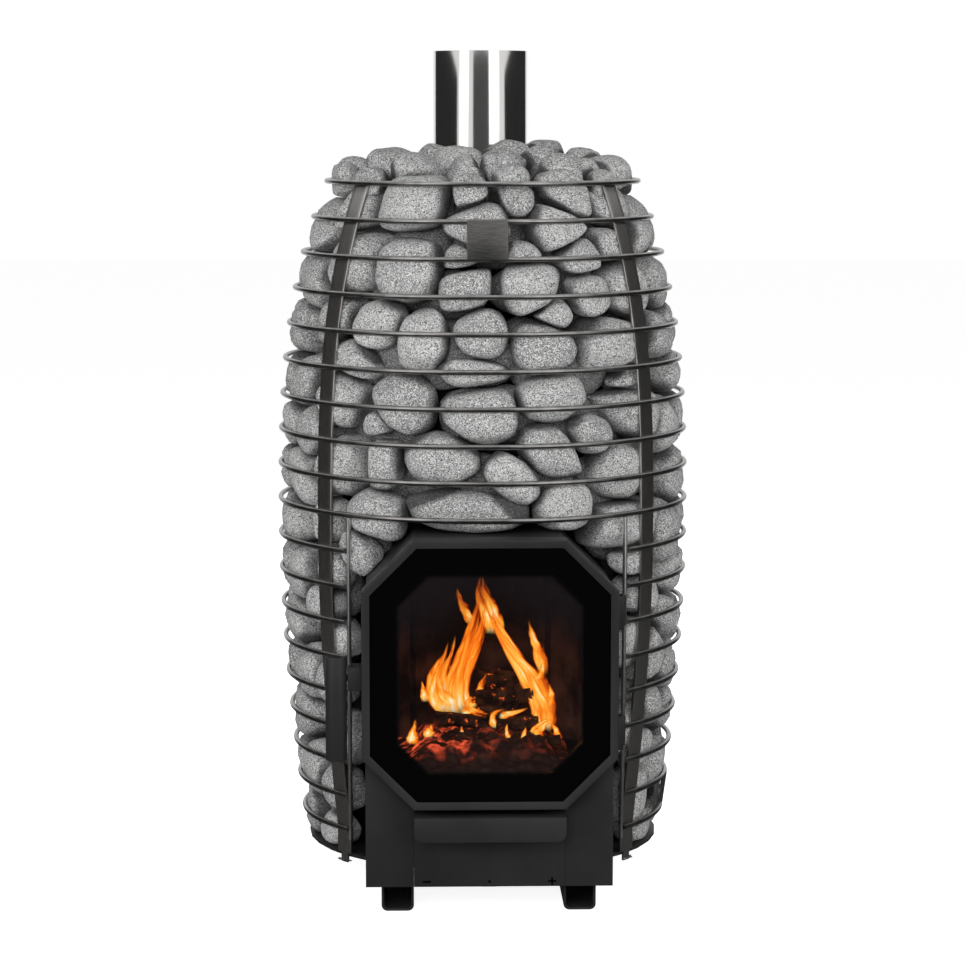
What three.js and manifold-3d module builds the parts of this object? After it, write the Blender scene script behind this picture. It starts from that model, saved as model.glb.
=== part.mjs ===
// A wood-burning sauna stove: a round welded rod cage full of stones around a steel firebox,
// with a glazed octagonal door, an ash drawer, an air slide and a flue pipe.
// Millimetres, +Z up, front towards -Y. Pieces are built around the cage's axis, and the
// finished group is moved so that its origin lies on the floor under the middle of its box.
import * as THREE from "three";
import { mergeVertices } from "three/addons/utils/BufferGeometryUtils.js";
import Module from "manifold-3d";

const wasm = await Module();
wasm.setup();

// Clearance between pieces that touch on the real stove
const seat = 0.3;

// Cage of horizontal rod rings
const ringCount = 19;
const topRingHeight = 825;
const bottomRingHeight = 69;
const ringRod = 6;
const bellyRing = 11;
const bellyRadius = 243.5;
const topRadius = 185.8;
const bottomRadius = 216.8;
const shoulderPower = 3.1;
const footPower = 1.7;
const ringSides = 28;
const rodSides = 5;

// Upright flat bars inside the rings, tabbed through the base plate
const barWidth = 25;
const barThickness = 3;
const barTabWidth = 12;
const barTabReach = 11;
const frontBarChord = 4;
const rearBarChord = 10;

// Opening in the rings for the door, edged by two upright rods
const doorwayMargin = 15.5;
const railRod = 5;
const railTail = 11;

// Service gap low on the right of the cage
const gapFrontAzimuth = 85;
const gapRearAzimuth = 125;
const gapStrapChord = 6;

// Bare badge plate on the second and third rings
const badgeSize = 47;
const badgeThickness = 3;

// Base plate and channel feet
const footHeight = 34;
const footWidth = 37;
const footWall = 3;
const footOffset = 104;
const footFront = 257;
const footBack = 171;
const footCorner = 7;
const basePlateMargin = 1.7;
const basePlateThickness = 4;

// Firebox, rolled from plate, with its flue outlet at the rear
const fireboxRadius = 165;
const fireboxWall = 4;
const fireboxTop = 600;
const fireboxSides = 36;
const flueOffset = 95;
const flueRadius = 57.5;
const flueWall = 1.2;
const flueTop = 980;
const spigotWall = 3;
const spigotHeight = 56;
const flueSides = 24;
const baffleHeight = 470;
const baffleThickness = 4;
const baffleFront = 70;

// Octagonal door opening
const doorWidth = 287;
const doorHeight = 305;
const doorChamfer = 58;
const doorBottom = 130;
const doorDepth = 28;
const doorWall = 4;
const doorBand = 9;
const doorLip = 4;
const bandSlope = 2;
const bandNose = 1;
const glassThickness = 4;
const glassClearance = 1;
const retainerWidth = 9;
const retainerWall = 3;
const sealDepth = 7;
const collarInset = 4.5;
const collarWall = 3;
const panelFace = 284;
const doorGap = 2;

// Lower front panel and the drawer in it
const panelInset = 3.5;
const panelBottom = 35;
const panelTop = 188;
const panelWall = 2;
const drawerWidth = 169;
const drawerTop = 122;
const drawerGap = 1;
const drawerProud = 0.5;
const lipReach = 34;
const lipDrop = 28;
const lipCorner = 10;
const sheet = 2;

// Ash box, tray and grate
const ashBoxRear = 112;
const ashBoxTop = 125;
const ashBoxFloor = 39;
const traySlack = 2;
const trayHeight = 70;
const trayRear = 100;
const hearthThickness = 4;
const grateWidth = 140;
const grateLength = 176;
const grateRear = 98;
const grateThickness = 12;
const grateLedge = 8;
const grateSlots = 7;
const grateSlotWidth = 9;

// Firebrick lining
const brickThickness = 29;
const brickHeight = 210;
const brickEnds = [
  ["left", -138, -64],
  ["back", 142, 218],
  ["right", 64, 138],
];

// Air slide under the ash box
const slideThickness = 3;
const slideLength = 110;
const slideShift = 15;
const slideWidth = 50;
const slideFront = 276.5;
const slideTab = 16;
const slideTabDrop = 4;
const inletWidth = 70;
const inletLength = 28;
const railLip = 1.2;
const railLap = 4;

// Hinges on the right of the door
const hingeStandoff = 5;
const hingeSetback = 4.5;
const hingeSpan = 137;
const knuckleRadius = 5;
const knuckleHeight = 34;
const hingePinRadius = 2.5;
const hingeLug = 5;
const strapThickness = 3.5;
const strapLap = 18;
const weldDepth = 1;
const pinReach = 2;
const pinSides = 12;

// Hanging handle on the left of the door
const handleRadius = 12;
const handleWall = 2;
const gripSides = 16;
const handleDrop = 92;
const handleRise = 25;
const handleGap = 1;
const gripSetback = 6;
const pivotSetback = 21;
const pivotBelowCentre = 4.5;
const spindleRadius = 4;
const forkHeight = 26;
const forkReach = 15.5;
const forkFrontWall = 8;
const forkBackWall = 1.5;
const forkSlit = 7;
const forkLug = 3.6;
const tongueHeight = 6.5;
const tongueLap = 13;
const spindleEnd = 1;
const keeperHeight = 7;
const keeperDepth = 4;
const keeperSetback = 7;
const keeperClearance = 2.5;

// Stones: the ones at the front lie where they are seen, as [azimuth in degrees, drop below the top
// ring], and the ones heaped on top as [right, back] of the cage's axis
const frontStones = [
  [-45, 33], [-24, 25], [-6, 10], [11, 19], [43, 29], [27, 13],
  [-3, 46], [22, 49], [41, 69], [12, 77], [-8, 83], [28, 83], [-41, 90], [-23, 96],
  [12, 117], [-6, 117], [44, 123], [30, 126], [20, 148],
  [-46, 157], [-31, 161], [-2, 170], [-18, 177], [15, 182], [36, 185],
  [-39, 200], [-4, 212], [45, 225],
  [17, 243], [-42, 249], [-23, 252], [42, 259], [-2, 262], [-32, 274],
  [28, 285], [17, 303], [-11, 310], [-28, 315], [-42, 327], [39, 331], [6, 332],
  [20, 364], [-5, 369], [-30, 377], [-47, 390], [39, 396],
  [-36, 421], [44, 437], [-46, 444], [46, 483], [-50, 493], [-45, 531], [51, 553],
  [-48, 585], [53, 620], [-45, 650], [50, 665], [-49, 714], [50, 730], [-53, 765], [55, 767],
];
const crownStones = [
  [-160, -40], [-130, -112], [-112, -42], [-84, -112], [-60, 26], [-29, -32], [-23, -90], [-19, -150],
  [30, -5], [20, -90], [30, -147], [76, 35], [67, -55], [87, -122], [118, 22], [146, -26], [116, -70],
  [134, -106], [160, 30], [-150, 20], [-105, 28], [-135, 85], [-95, 140], [-38, 168], [32, 168],
  [92, 140], [138, 82],
];
const backStoneStart = 61;
const stonePitch = 90;
const stoneRowPitch = 78;
const stoneJitter = 11;
const courseDrops = [603, 421, 237, 25];
const courseGap = 1.3;
const crownRise = 47;
const crownDrop = 36;
const crownRadius = 178;
const crownSides = 20;
const crownNeck = 0.5;
const coreRadius = 162;
const coreLap = 2;
const arcPerDegree = 4;
const grain = 0.25;
const shoulder = 0.62;
const shoulderLevel = 0.9;
const neckLow = 0.36;
const neckHigh = 0.58;

// Sizes worked out from those above
const rodFlat = (ringRod / 2) * Math.cos(Math.PI / rodSides);
const axisDepth = (panelFace + lipReach - bellyRadius - rodFlat) / 2;
const bottomRing = ringCount - 1;
const ringPitch = (topRingHeight - bottomRingHeight) / bottomRing;
const chordStretch = 1 / Math.cos(Math.PI / ringSides);
const chordAngle = 360 / ringSides;
const basePlateTop = footHeight + basePlateThickness;
const doorCentre = doorBottom + doorHeight / 2;
const fullRings = Math.floor((topRingHeight - doorBottom - doorHeight) / ringPitch) + 1;
const doorBack = panelFace + doorGap;
const doorFront = doorBack + doorDepth;
const halfDoor = doorWidth / 2;
const halfCollar = halfDoor - collarInset;
const mitre = 2 - Math.SQRT2;
const railOffset = halfDoor + doorwayMargin;
const halfPanel = halfDoor - panelInset;
const hingeOffset = halfDoor + hingeStandoff;
const hingeDepth = doorBack - hingeSetback;
const hingeHeights = [-1, 1].map((side) => doorCentre + (side * hingeSpan - knuckleHeight) / 2);
const forkOuter = halfDoor + forkReach;
const handleOffset = forkOuter + handleGap + handleRadius;
const pivotDepth = doorFront - pivotSetback;
const pivotHeight = doorCentre - pivotBelowCentre;
const fireboxInner = fireboxRadius - fireboxWall;
const ashBoxHalf = drawerWidth / 2 - seat;
const hearthTop = ashBoxTop + hearthThickness;
const far = 2 * flueTop;

const degrees = THREE.MathUtils.degToRad;

// Height and radius of a ring, counted from 0 at the top.
function ringHeight(index) {
  return topRingHeight - index * ringPitch;
}

function cageRadius(height) {
  const above = (height - ringHeight(bellyRing - 1)) / ((bellyRing - 1) * ringPitch);
  const below = -above * ((bellyRing - 1) / (ringCount - bellyRing));
  if (above >= 0) return bellyRadius - (bellyRadius - topRadius) * above ** shoulderPower;
  return bellyRadius - (bellyRadius - bottomRadius) * below ** footPower;
}

// Outer face of the upright bars at a height, just inside the rings.
function barOuterRadius(height) {
  return cageRadius(height) - ringRod / 2 - seat;
}

const barFoot = basePlateTop + seat;
const basePlateRadius = barOuterRadius(barFoot) + basePlateMargin;

// A closed geometry as a solid that can be joined and cut, and back again.
function toSolid(geometry) {
  const bare = geometry.clone();
  bare.deleteAttribute("normal");
  bare.deleteAttribute("uv");
  const merged = mergeVertices(bare);
  return new wasm.Manifold(
    new wasm.Mesh({
      numProp: 3,
      vertProperties: merged.attributes.position.array,
      triVerts: new Uint32Array(merged.index.array),
    }),
  );
}

function toGeometry(solid) {
  const mesh = solid.getMesh();
  const geometry = new THREE.BufferGeometry();
  geometry.setAttribute("position", new THREE.BufferAttribute(mesh.vertProperties, 3));
  geometry.setIndex(new THREE.BufferAttribute(mesh.triVerts, 1));
  return geometry;
}

// A profile of [radius, height] points turned about the upright axis.
function turned(profile, sides, phase = 0) {
  const points = profile.map(([radius, height]) => new THREE.Vector2(radius, height));
  return toSolid(new THREE.LatheGeometry(points, sides, phase).rotateX(Math.PI / 2));
}

function disc(radius, bottom, top, sides) {
  return turned([[0, bottom], [radius, bottom], [radius, top], [0, top]], sides);
}

function tube(inner, outer, bottom, top, sides) {
  const profile = [[inner, bottom], [outer, bottom], [outer, top], [inner, top], [inner, bottom]];
  return turned(profile, sides);
}

// A block between two corners.
function block(x0, x1, y0, y1, z0, z1) {
  const geometry = new THREE.BoxGeometry(x1 - x0, y1 - y0, z1 - z0);
  return toSolid(geometry.translate((x0 + x1) / 2, (y0 + y1) / 2, (z0 + z1) / 2));
}

// A shape drawn in the front view, given depth from one Y to another further back.
function slab(shape, front, back) {
  const settings = { depth: back - front, bevelEnabled: false, curveSegments: 4 };
  const geometry = new THREE.ExtrudeGeometry(shape, settings).rotateX(Math.PI / 2);
  return toSolid(geometry.translate(0, back, 0));
}

// A shape drawn in the plan view, given height.
function column(shape, bottom, top) {
  const settings = { depth: top - bottom, bevelEnabled: false, curveSegments: 8 };
  return toSolid(new THREE.ExtrudeGeometry(shape, settings).translate(0, 0, bottom));
}

function pathShape(points) {
  return new THREE.Shape(points.map(([a, b]) => new THREE.Vector2(a, b)));
}

// A round rod along a curve.
function rod(curve, diameter, steps, sides) {
  const section = new THREE.Shape();
  for (let side = 0; side < sides; side++) {
    const turn = (2 * Math.PI * side) / sides;
    const point = [(diameter / 2) * Math.cos(turn), (diameter / 2) * Math.sin(turn)];
    if (side === 0) section.moveTo(...point);
    else section.lineTo(...point);
  }
  section.closePath();
  return toSolid(new THREE.ExtrudeGeometry(section, { steps, extrudePath: curve }));
}

// An upright sector of space between two azimuths, counted from the front towards +X.
function sector(from, to) {
  const points = [[0, 0]];
  const parts = 6;
  for (let part = 0; part <= parts; part++) {
    const azimuth = degrees(from + ((to - from) * part) / parts);
    points.push([far * Math.sin(azimuth), -far * Math.cos(azimuth)]);
  }
  return column(pathShape(points), -far, far);
}

// Corners of the door's octagon, inset by a distance and counted anticlockwise in the front view.
function octagonCorners(inset) {
  const halfWidth = doorWidth / 2 - inset;
  const halfHeight = doorHeight / 2 - inset;
  const leg = doorChamfer - mitre * inset;
  const corners = [
    [halfWidth, leg - halfHeight],
    [halfWidth, halfHeight - leg],
    [halfWidth - leg, halfHeight],
    [leg - halfWidth, halfHeight],
    [-halfWidth, halfHeight - leg],
    [-halfWidth, leg - halfHeight],
    [leg - halfWidth, -halfHeight],
    [halfWidth - leg, -halfHeight],
  ];
  return corners.map(([x, z]) => [x, z + doorCentre]);
}

function octagon(inset) {
  return pathShape(octagonCorners(inset));
}

// A closed section of [inset, y] points carried round the octagon with mitred corners.
function octagonRing(section) {
  const loops = section.map(([inset, y]) => octagonCorners(inset).map(([x, z]) => [x, y, z]));
  const positions = [];
  loops.forEach((loop, index) => {
    const next = loops[(index + 1) % loops.length];
    loop.forEach((point, corner) => {
      const after = (corner + 1) % loop.length;
      positions.push(...point, ...next[after], ...loop[after]);
      positions.push(...point, ...next[corner], ...next[after]);
    });
  });
  const geometry = new THREE.BufferGeometry();
  geometry.setAttribute("position", new THREE.Float32BufferAttribute(positions, 3));
  return toSolid(geometry);
}

// The exported group and its finishes
const stove = new THREE.Group();
stove.position.y = axisDepth;

const stainless = { color: 0x8d8a87, roughness: 0.35, metalness: 1 };
const blackSteel = { color: 0x242424, roughness: 0.6, metalness: 0.4 };
const granite = { color: 0x8a8a88, roughness: 0.9, metalness: 0 };
const firebrick = { color: 0xb09a7c, roughness: 0.95, metalness: 0 };
const castIron = { color: 0x2b2a29, roughness: 0.8, metalness: 0.6 };
const glass = { color: 0x101010, roughness: 0.05, metalness: 0, transparent: true, opacity: 0.4 };
const rope = { color: 0x3a3936, roughness: 1, metalness: 0 };

function addPiece(name, solid, finish, blend = 0.02) {
  const geometry = toGeometry(solid.simplify(blend));
  const mesh = new THREE.Mesh(geometry, new THREE.MeshStandardMaterial(finish));
  mesh.name = name;
  stove.add(mesh);
}

// Cage rings, flat to the front and sides at their full radius. The lower ones are cut away for
// the door, and the last also for the service gap.
function ringSolid(index) {
  const radius = cageRadius(ringHeight(index));
  const profile = [];
  for (let side = 0; side <= rodSides; side++) {
    const turn = (2 * Math.PI * (side % rodSides)) / rodSides;
    profile.push([
      chordStretch * (radius - (ringRod / 2) * Math.cos(turn)),
      ringHeight(index) - (ringRod / 2) * Math.sin(turn),
    ]);
  }
  return turned(profile, ringSides, Math.PI / ringSides);
}

const ringEnd = railOffset + railRod / 2 + seat;
const doorway = block(-ringEnd, ringEnd, -far, 0, -far, far);

function ringName(index) {
  return "cage_ring_" + String(index + 1).padStart(2, "0");
}

for (let index = 0; index < bottomRing; index++) {
  const ring = ringSolid(index);
  addPiece(ringName(index), index < fullRings ? ring : ring.subtract(doorway), stainless);
}

// The lowest ring is in two lengths. The short one turns up at the gap to meet the ring above.
const lowestRing = ringSolid(bottomRing).subtract(doorway);
addPiece(ringName(bottomRing), lowestRing.subtract(sector(0, gapRearAzimuth)), stainless);

function cagePoint(azimuth, height, radius) {
  const turn = degrees(azimuth);
  return new THREE.Vector3(radius * Math.sin(turn), -radius * Math.cos(turn), height);
}

function ringPoint(azimuth, index) {
  return cagePoint(azimuth, ringHeight(index), cageRadius(ringHeight(index)));
}

const gapTop = ringPoint(gapFrontAzimuth, bottomRing - 1);
gapTop.z -= ringRod / 2 + seat;
const gapUpright = new THREE.LineCurve3(ringPoint(gapFrontAzimuth, bottomRing), gapTop);
const shortRing = lowestRing.intersect(sector(0, gapFrontAzimuth));
addPiece(ringName(bottomRing) + "_short", shortRing.add(rod(gapUpright, ringRod, 1, 8)), stainless);

// Upright bars, bent to the cage's outline. Each lies flat against one chord of the rings.
function barSolid(chord, firstRing, lastRing, endHeight) {
  const outline = [];
  const heights = [ringHeight(firstRing) + ringRod / 2];
  for (let index = firstRing; index <= lastRing; index++) heights.push(ringHeight(index));
  heights.push(endHeight);
  for (const height of heights) {
    outline.push([barOuterRadius(Math.min(height, topRingHeight)), height]);
  }
  const inner = outline.map(([radius, height]) => [radius - barThickness, height]).reverse();
  const shape = pathShape([...inner, ...outline]);
  const settings = { depth: barWidth, bevelEnabled: false };
  const geometry = new THREE.ExtrudeGeometry(shape, settings).translate(0, 0, -barWidth / 2);
  return turnedToChord(toSolid(geometry.rotateX(Math.PI / 2)), chord);
}

function turnedToChord(solid, chord) {
  return solid.rotate([0, 0, chord * chordAngle - 90]);
}

const tabRadius = barOuterRadius(barFoot) - barThickness / 2;

function tabBlock(width, thickness, top) {
  const half = thickness / 2;
  const bottom = footHeight - barTabReach;
  return block(tabRadius - half, tabRadius + half, -width / 2, width / 2, bottom, top);
}

const barPlaces = [
  ["front_right", frontBarChord],
  ["rear_right", rearBarChord],
  ["rear_left", -rearBarChord],
  ["front_left", -frontBarChord],
];
for (const [place, chord] of barPlaces) {
  const bar = barSolid(chord, 0, bottomRing, barFoot);
  const tab = turnedToChord(tabBlock(barTabWidth, barThickness, barFoot + barThickness), chord);
  addPiece("cage_bar_" + place, bar.add(tab), stainless);
}
const strapFoot = ringHeight(bottomRing) - ringRod / 2;
addPiece("cage_gap_strap", barSolid(gapStrapChord, bottomRing - 1, bottomRing, strapFoot), stainless);

// Rods that edge the doorway, hung from the last full ring and met by the cut rings' ends.
for (const [place, side] of [["left", -1], ["right", 1]]) {
  const heights = [ringHeight(fullRings - 1) - ringRod / 2 - seat];
  for (let index = fullRings; index <= bottomRing; index++) heights.push(ringHeight(index));
  heights.push(ringHeight(bottomRing) - railTail);
  const points = heights.map((height) => {
    const depth = Math.sqrt(cageRadius(height) ** 2 - railOffset ** 2);
    return new THREE.Vector3(side * railOffset, -depth, height);
  });
  const curve = new THREE.CatmullRomCurve3(points);
  addPiece("doorway_rod_" + place, rod(curve, railRod, heights.length - 1, 6), stainless);
}

// Bare badge plate, leaning with the cage on the second and third rings.
const badgeRings = [1, 2].map((index) => new THREE.Vector2(
  cageRadius(ringHeight(index)) + ringRod / 2,
  ringHeight(index),
));
const [badgeTop, badgeFoot] = badgeRings;
const badgeLean = Math.atan2(badgeFoot.x - badgeTop.x, badgeTop.y - badgeFoot.y);
const badge = new THREE.BoxGeometry(badgeSize, badgeThickness, badgeSize);
badge.translate(0, -badgeThickness / 2 - seat, 0);
badge.rotateX(-badgeLean);
badge.translate(0, -(badgeTop.x + badgeFoot.x) / 2, (badgeTop.y + badgeFoot.y) / 2);
addPiece("badge_plate", toSolid(badge), stainless);

// Base plate with a slot for each bar's tab
let basePlate = disc(basePlateRadius, footHeight, basePlateTop, fireboxSides);
for (const [, chord] of barPlaces) {
  const slot = tabBlock(barTabWidth + 2 * seat, barThickness + 2 * seat, barFoot + barThickness);
  basePlate = basePlate.subtract(turnedToChord(slot, chord));
}
addPiece("base_plate", basePlate, blackSteel);

// Channel feet, open at the top and at both ends
function channelOutline(halfWidth, bottom, corner) {
  const shape = new THREE.Shape();
  shape.moveTo(-halfWidth, footHeight - seat);
  shape.lineTo(-halfWidth, bottom + corner);
  shape.absarc(corner - halfWidth, bottom + corner, corner, Math.PI, 1.5 * Math.PI);
  shape.absarc(halfWidth - corner, bottom + corner, corner, 1.5 * Math.PI, 2 * Math.PI);
  shape.lineTo(halfWidth, footHeight - seat);
  return shape;
}

for (const [place, side] of [["left", -1], ["right", 1]]) {
  const outside = channelOutline(footWidth / 2, 0, footCorner);
  const hollow = channelOutline(footWidth / 2 - footWall, footWall, footCorner - footWall);
  const bar = slab(outside, -footFront, footBack);
  const foot = bar.subtract(slab(hollow, -far, far));
  addPiece("foot_" + place, foot.translate([side * footOffset, 0, 0]), blackSteel);
}

// Firebox: a tube with the doorway and the ash box's mouth cut from its front
const collarBore = slab(octagon(collarInset + collarWall), -far, 0);
const ashMouth = block(-ashBoxHalf - seat, ashBoxHalf + seat, -far, 0, 0, ashBoxTop + seat);
const shellBottom = basePlateTop + seat;
const shell = tube(fireboxInner, fireboxRadius, shellBottom, fireboxTop, fireboxSides);
addPiece("firebox_shell", shell.subtract(collarBore).subtract(ashMouth), blackSteel);

// Firebox lid with the spigot that the flue pipe slips over
const lidBottom = fireboxTop + seat;
const lidTop = lidBottom + fireboxWall;
const spigotRadius = flueRadius - flueWall - seat;
const spigotBore = disc(spigotRadius - spigotWall, -far, far, flueSides);
const spigot = disc(spigotRadius, lidBottom, lidTop + spigotHeight, flueSides);
const toFlue = [0, flueOffset, 0];
const lid = disc(fireboxRadius, lidBottom, lidTop, fireboxSides);
const lidWithSpigot = lid.add(spigot.translate(toFlue)).subtract(spigotBore.translate(toFlue));
addPiece("firebox_lid", lidWithSpigot, blackSteel);
const pipe = tube(flueRadius - flueWall, flueRadius, lidTop + seat, flueTop, flueSides);
addPiece("flue_pipe", pipe.translate(toFlue), stainless);

// Smoke baffle, set across the firebox with a way round its front
const liningRadius = fireboxInner - seat;
const baffle = disc(liningRadius, baffleHeight, baffleHeight + baffleThickness, fireboxSides);
addPiece("smoke_baffle", baffle.subtract(block(-far, far, -far, -baffleFront, 0, far)), castIron);

// Firebrick lining on the hearth
const brickBottom = hearthTop + seat;
const bricks = tube(
  liningRadius - brickThickness,
  liningRadius,
  brickBottom,
  brickBottom + brickHeight,
  fireboxSides,
);
for (const [place, from, to] of brickEnds) {
  addPiece("firebrick_" + place, bricks.intersect(sector(from, to)), firebrick);
}

// Octagonal collar between the firebox and the door
const fireboxSpace = disc(fireboxRadius + seat, -far, far, fireboxSides);
const collarOutside = slab(octagon(collarInset), -panelFace, 0);
addPiece("front_collar", collarOutside.subtract(collarBore).subtract(fireboxSpace), blackSteel);

// Lower front panel, folded back at both sides, cut for the collar and the drawer
const panelBack = panelWall - panelFace;
const panelFront = block(-halfPanel, halfPanel, -panelFace, panelBack, panelBottom, panelTop);
const panelCover = block(-halfPanel, halfPanel, -panelFace, 0, panelBottom, panelTop);
const panelInside = block(panelWall - halfPanel, halfPanel - panelWall, panelBack, far, 0, far);
const drawerHalf = drawerWidth / 2;
const drawerHole = drawerHalf + drawerGap;
const drawerMouth = block(-drawerHole, drawerHole, -far, 0, 0, drawerTop + drawerGap);
const collarSpace = slab(octagon(collarInset - seat), -far, 0);
const basePlateSpace = disc(basePlateRadius + seat, 0, basePlateTop + seat, fireboxSides);
const frontPanel = panelFront
  .add(panelCover.subtract(panelInside))
  .subtract(collarSpace)
  .subtract(drawerMouth)
  .subtract(basePlateSpace)
  .subtract(fireboxSpace);
addPiece("front_panel", frontPanel, blackSteel);

// Ash box with the hearth on top of it and the air slide's runners under it
const ashBoxFront = panelBack + 2 * seat;
const grateMiddle = grateRear - grateLength / 2;
const grateHalf = grateWidth / 2;
const grateHole = block(
  grateLedge - grateHalf,
  grateHalf - grateLedge,
  grateMiddle - grateLength / 2 + grateLedge,
  grateRear - grateLedge,
  ashBoxFloor + 2 * sheet,
  far,
);
const slideTop = ashBoxFloor - seat;
const slideBottom = slideTop - slideThickness;
const slideBack = slideFront - slideWidth;
const runnerBottom = slideBottom - seat - railLip;
const runnerInner = seat + sheet;
const inletMiddle = -(slideFront + slideBack) / 2;
const inlet = block(
  -inletWidth - slideTab / 4,
  -slideTab / 4,
  inletMiddle - inletLength / 2,
  inletMiddle + inletLength / 2,
  0,
  ashBoxFloor + 2 * sheet,
);

function runner(edge, inward) {
  const web = [edge - inward * seat, edge - inward * runnerInner].sort((a, b) => a - b);
  const lip = [edge - inward * runnerInner, edge + inward * railLap].sort((a, b) => a - b);
  const joined = ashBoxFloor + sheet / 2;
  return block(-ashBoxHalf, ashBoxHalf, web[0], web[1], runnerBottom, joined)
    .add(block(-ashBoxHalf, ashBoxHalf, lip[0], lip[1], runnerBottom, runnerBottom + railLip));
}

const ashBoxInside = block(
  sheet - ashBoxHalf,
  ashBoxHalf - sheet,
  -far,
  ashBoxRear - sheet,
  ashBoxFloor + sheet,
  ashBoxTop - sheet,
);
const ashBox = block(-ashBoxHalf, ashBoxHalf, ashBoxFront, ashBoxRear, ashBoxFloor, ashBoxTop)
  .add(disc(liningRadius, ashBoxTop - sheet, hearthTop, fireboxSides))
  .subtract(ashBoxInside)
  .subtract(grateHole)
  .add(runner(-slideFront, 1))
  .add(runner(-slideBack, -1))
  .subtract(inlet);
addPiece("ash_box", ashBox, blackSteel);

// Cast grate over the ash box
let grate = block(
  -grateHalf,
  grateHalf,
  grateRear - grateLength,
  grateRear,
  hearthTop + seat,
  hearthTop + seat + grateThickness,
);
const slotPitch = (grateWidth - 2 * grateLedge) / grateSlots;
for (let slot = 0; slot < grateSlots; slot++) {
  const middle = slotPitch * (slot - (grateSlots - 1) / 2);
  const half = grateSlotWidth / 2;
  const end = grateLedge + slotPitch / 2;
  const front = grateRear - grateLength + end;
  const back = grateRear - end;
  grate = grate.subtract(block(middle - half, middle + half, front, back, 0, far));
}
addPiece("fire_grate", grate, castIron);

// Air slide with a finger tab, closed to the left and open to the right
const airSlide = block(
  slideShift - slideLength / 2,
  slideShift + slideLength / 2,
  -slideFront,
  -slideBack,
  slideBottom,
  slideTop,
);
const tabFront = -slideFront + railLap + 2 * seat;
const slideTabBlock = block(
  -slideTab / 2,
  slideTab / 2,
  tabFront,
  tabFront + slideTab / 2,
  slideBottom - slideTabDrop,
  slideTop,
);
addPiece("air_slide", airSlide.add(slideTabBlock), blackSteel);

// Ash tray and the drawer front with its folded lip
const trayHalf = ashBoxHalf - sheet - traySlack;
const trayFloor = ashBoxFloor + sheet + seat;
const drawerBack = -panelFace - drawerProud + sheet;
const trayFront = drawerBack + seat;
const trayTop = trayFloor + trayHeight;
const tray = block(-trayHalf, trayHalf, trayFront, trayRear, trayFloor, trayTop);
const trayHollow = block(
  sheet - trayHalf,
  trayHalf - sheet,
  trayFront + sheet,
  trayRear - sheet,
  trayFloor + sheet,
  far,
);
addPiece("ash_tray", tray.subtract(trayHollow), blackSteel);

const lipFront = -panelFace - lipReach;
const bend = drawerTop - lipDrop + lipCorner;
const apron = new THREE.Shape();
apron.moveTo(-drawerHalf, drawerTop);
apron.lineTo(-drawerHalf, bend);
apron.absarc(lipCorner - drawerHalf, bend, lipCorner, Math.PI, 1.5 * Math.PI);
apron.absarc(drawerHalf - lipCorner, bend, lipCorner, 1.5 * Math.PI, 2 * Math.PI);
apron.lineTo(drawerHalf, drawerTop);
const drawerFace = drawerBack - sheet;
const drawerPlate = block(-drawerHalf, drawerHalf, drawerFace, drawerBack, panelBottom, drawerTop);
const lipShelf = block(-drawerHalf, drawerHalf, lipFront, drawerBack, drawerTop - sheet, drawerTop);
const drawerFront = drawerPlate.add(lipShelf).add(slab(apron, lipFront, lipFront + sheet));
addPiece("drawer_front", drawerFront, blackSteel);

// Door frame: a mitred octagonal ring with a sloped front band and the hinge straps on its right
const glassFront = -doorFront + doorLip;
const frameRing = octagonRing([
  [0, -doorBack],
  [doorWall, -doorBack],
  [doorWall, glassFront],
  [doorBand, glassFront],
  [doorBand, -doorFront + bandSlope],
  [bandNose, -doorFront],
  [0, -doorFront + bandNose],
]);

function upright(radius, x, y, bottom, top, sides) {
  return disc(radius, bottom, top, sides).translate([x, y, 0]);
}

let doorFrame = frameRing;
for (const height of hingeHeights) {
  const top = height + knuckleHeight;
  const strapFront = -doorBack - strapLap;
  const strapRoot = halfDoor - weldDepth;
  const strapEnd = halfDoor + strapThickness;
  const strap = block(strapRoot, strapEnd, strapFront, -hingeDepth, height, top);
  const knuckle = upright(knuckleRadius, hingeOffset, -hingeDepth, height, top, pinSides);
  const bore = upright(hingePinRadius + seat, hingeOffset, -hingeDepth, 0, far, pinSides);
  doorFrame = doorFrame.add(strap).add(knuckle).subtract(bore);
}
addPiece("door_frame", doorFrame, blackSteel);

// Hinge lugs welded to the collar, each with its pin
["lower", "upper"].forEach((place, index) => {
  const top = hingeHeights[index] - seat;
  const lugBack = -hingeDepth + hingePinRadius + weldDepth;
  const lugFront = -panelFace + seat - weldDepth;
  const lugEnd = hingeOffset + hingePinRadius;
  const lug = block(halfCollar + seat, lugEnd, lugFront, lugBack, top - hingeLug, top);
  const pinTop = hingeHeights[index] + knuckleHeight + pinReach;
  const pin = upright(hingePinRadius, hingeOffset, -hingeDepth, top - hingeLug, pinTop, pinSides);
  addPiece("hinge_pin_" + place, lug.add(pin), blackSteel);
});

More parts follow.
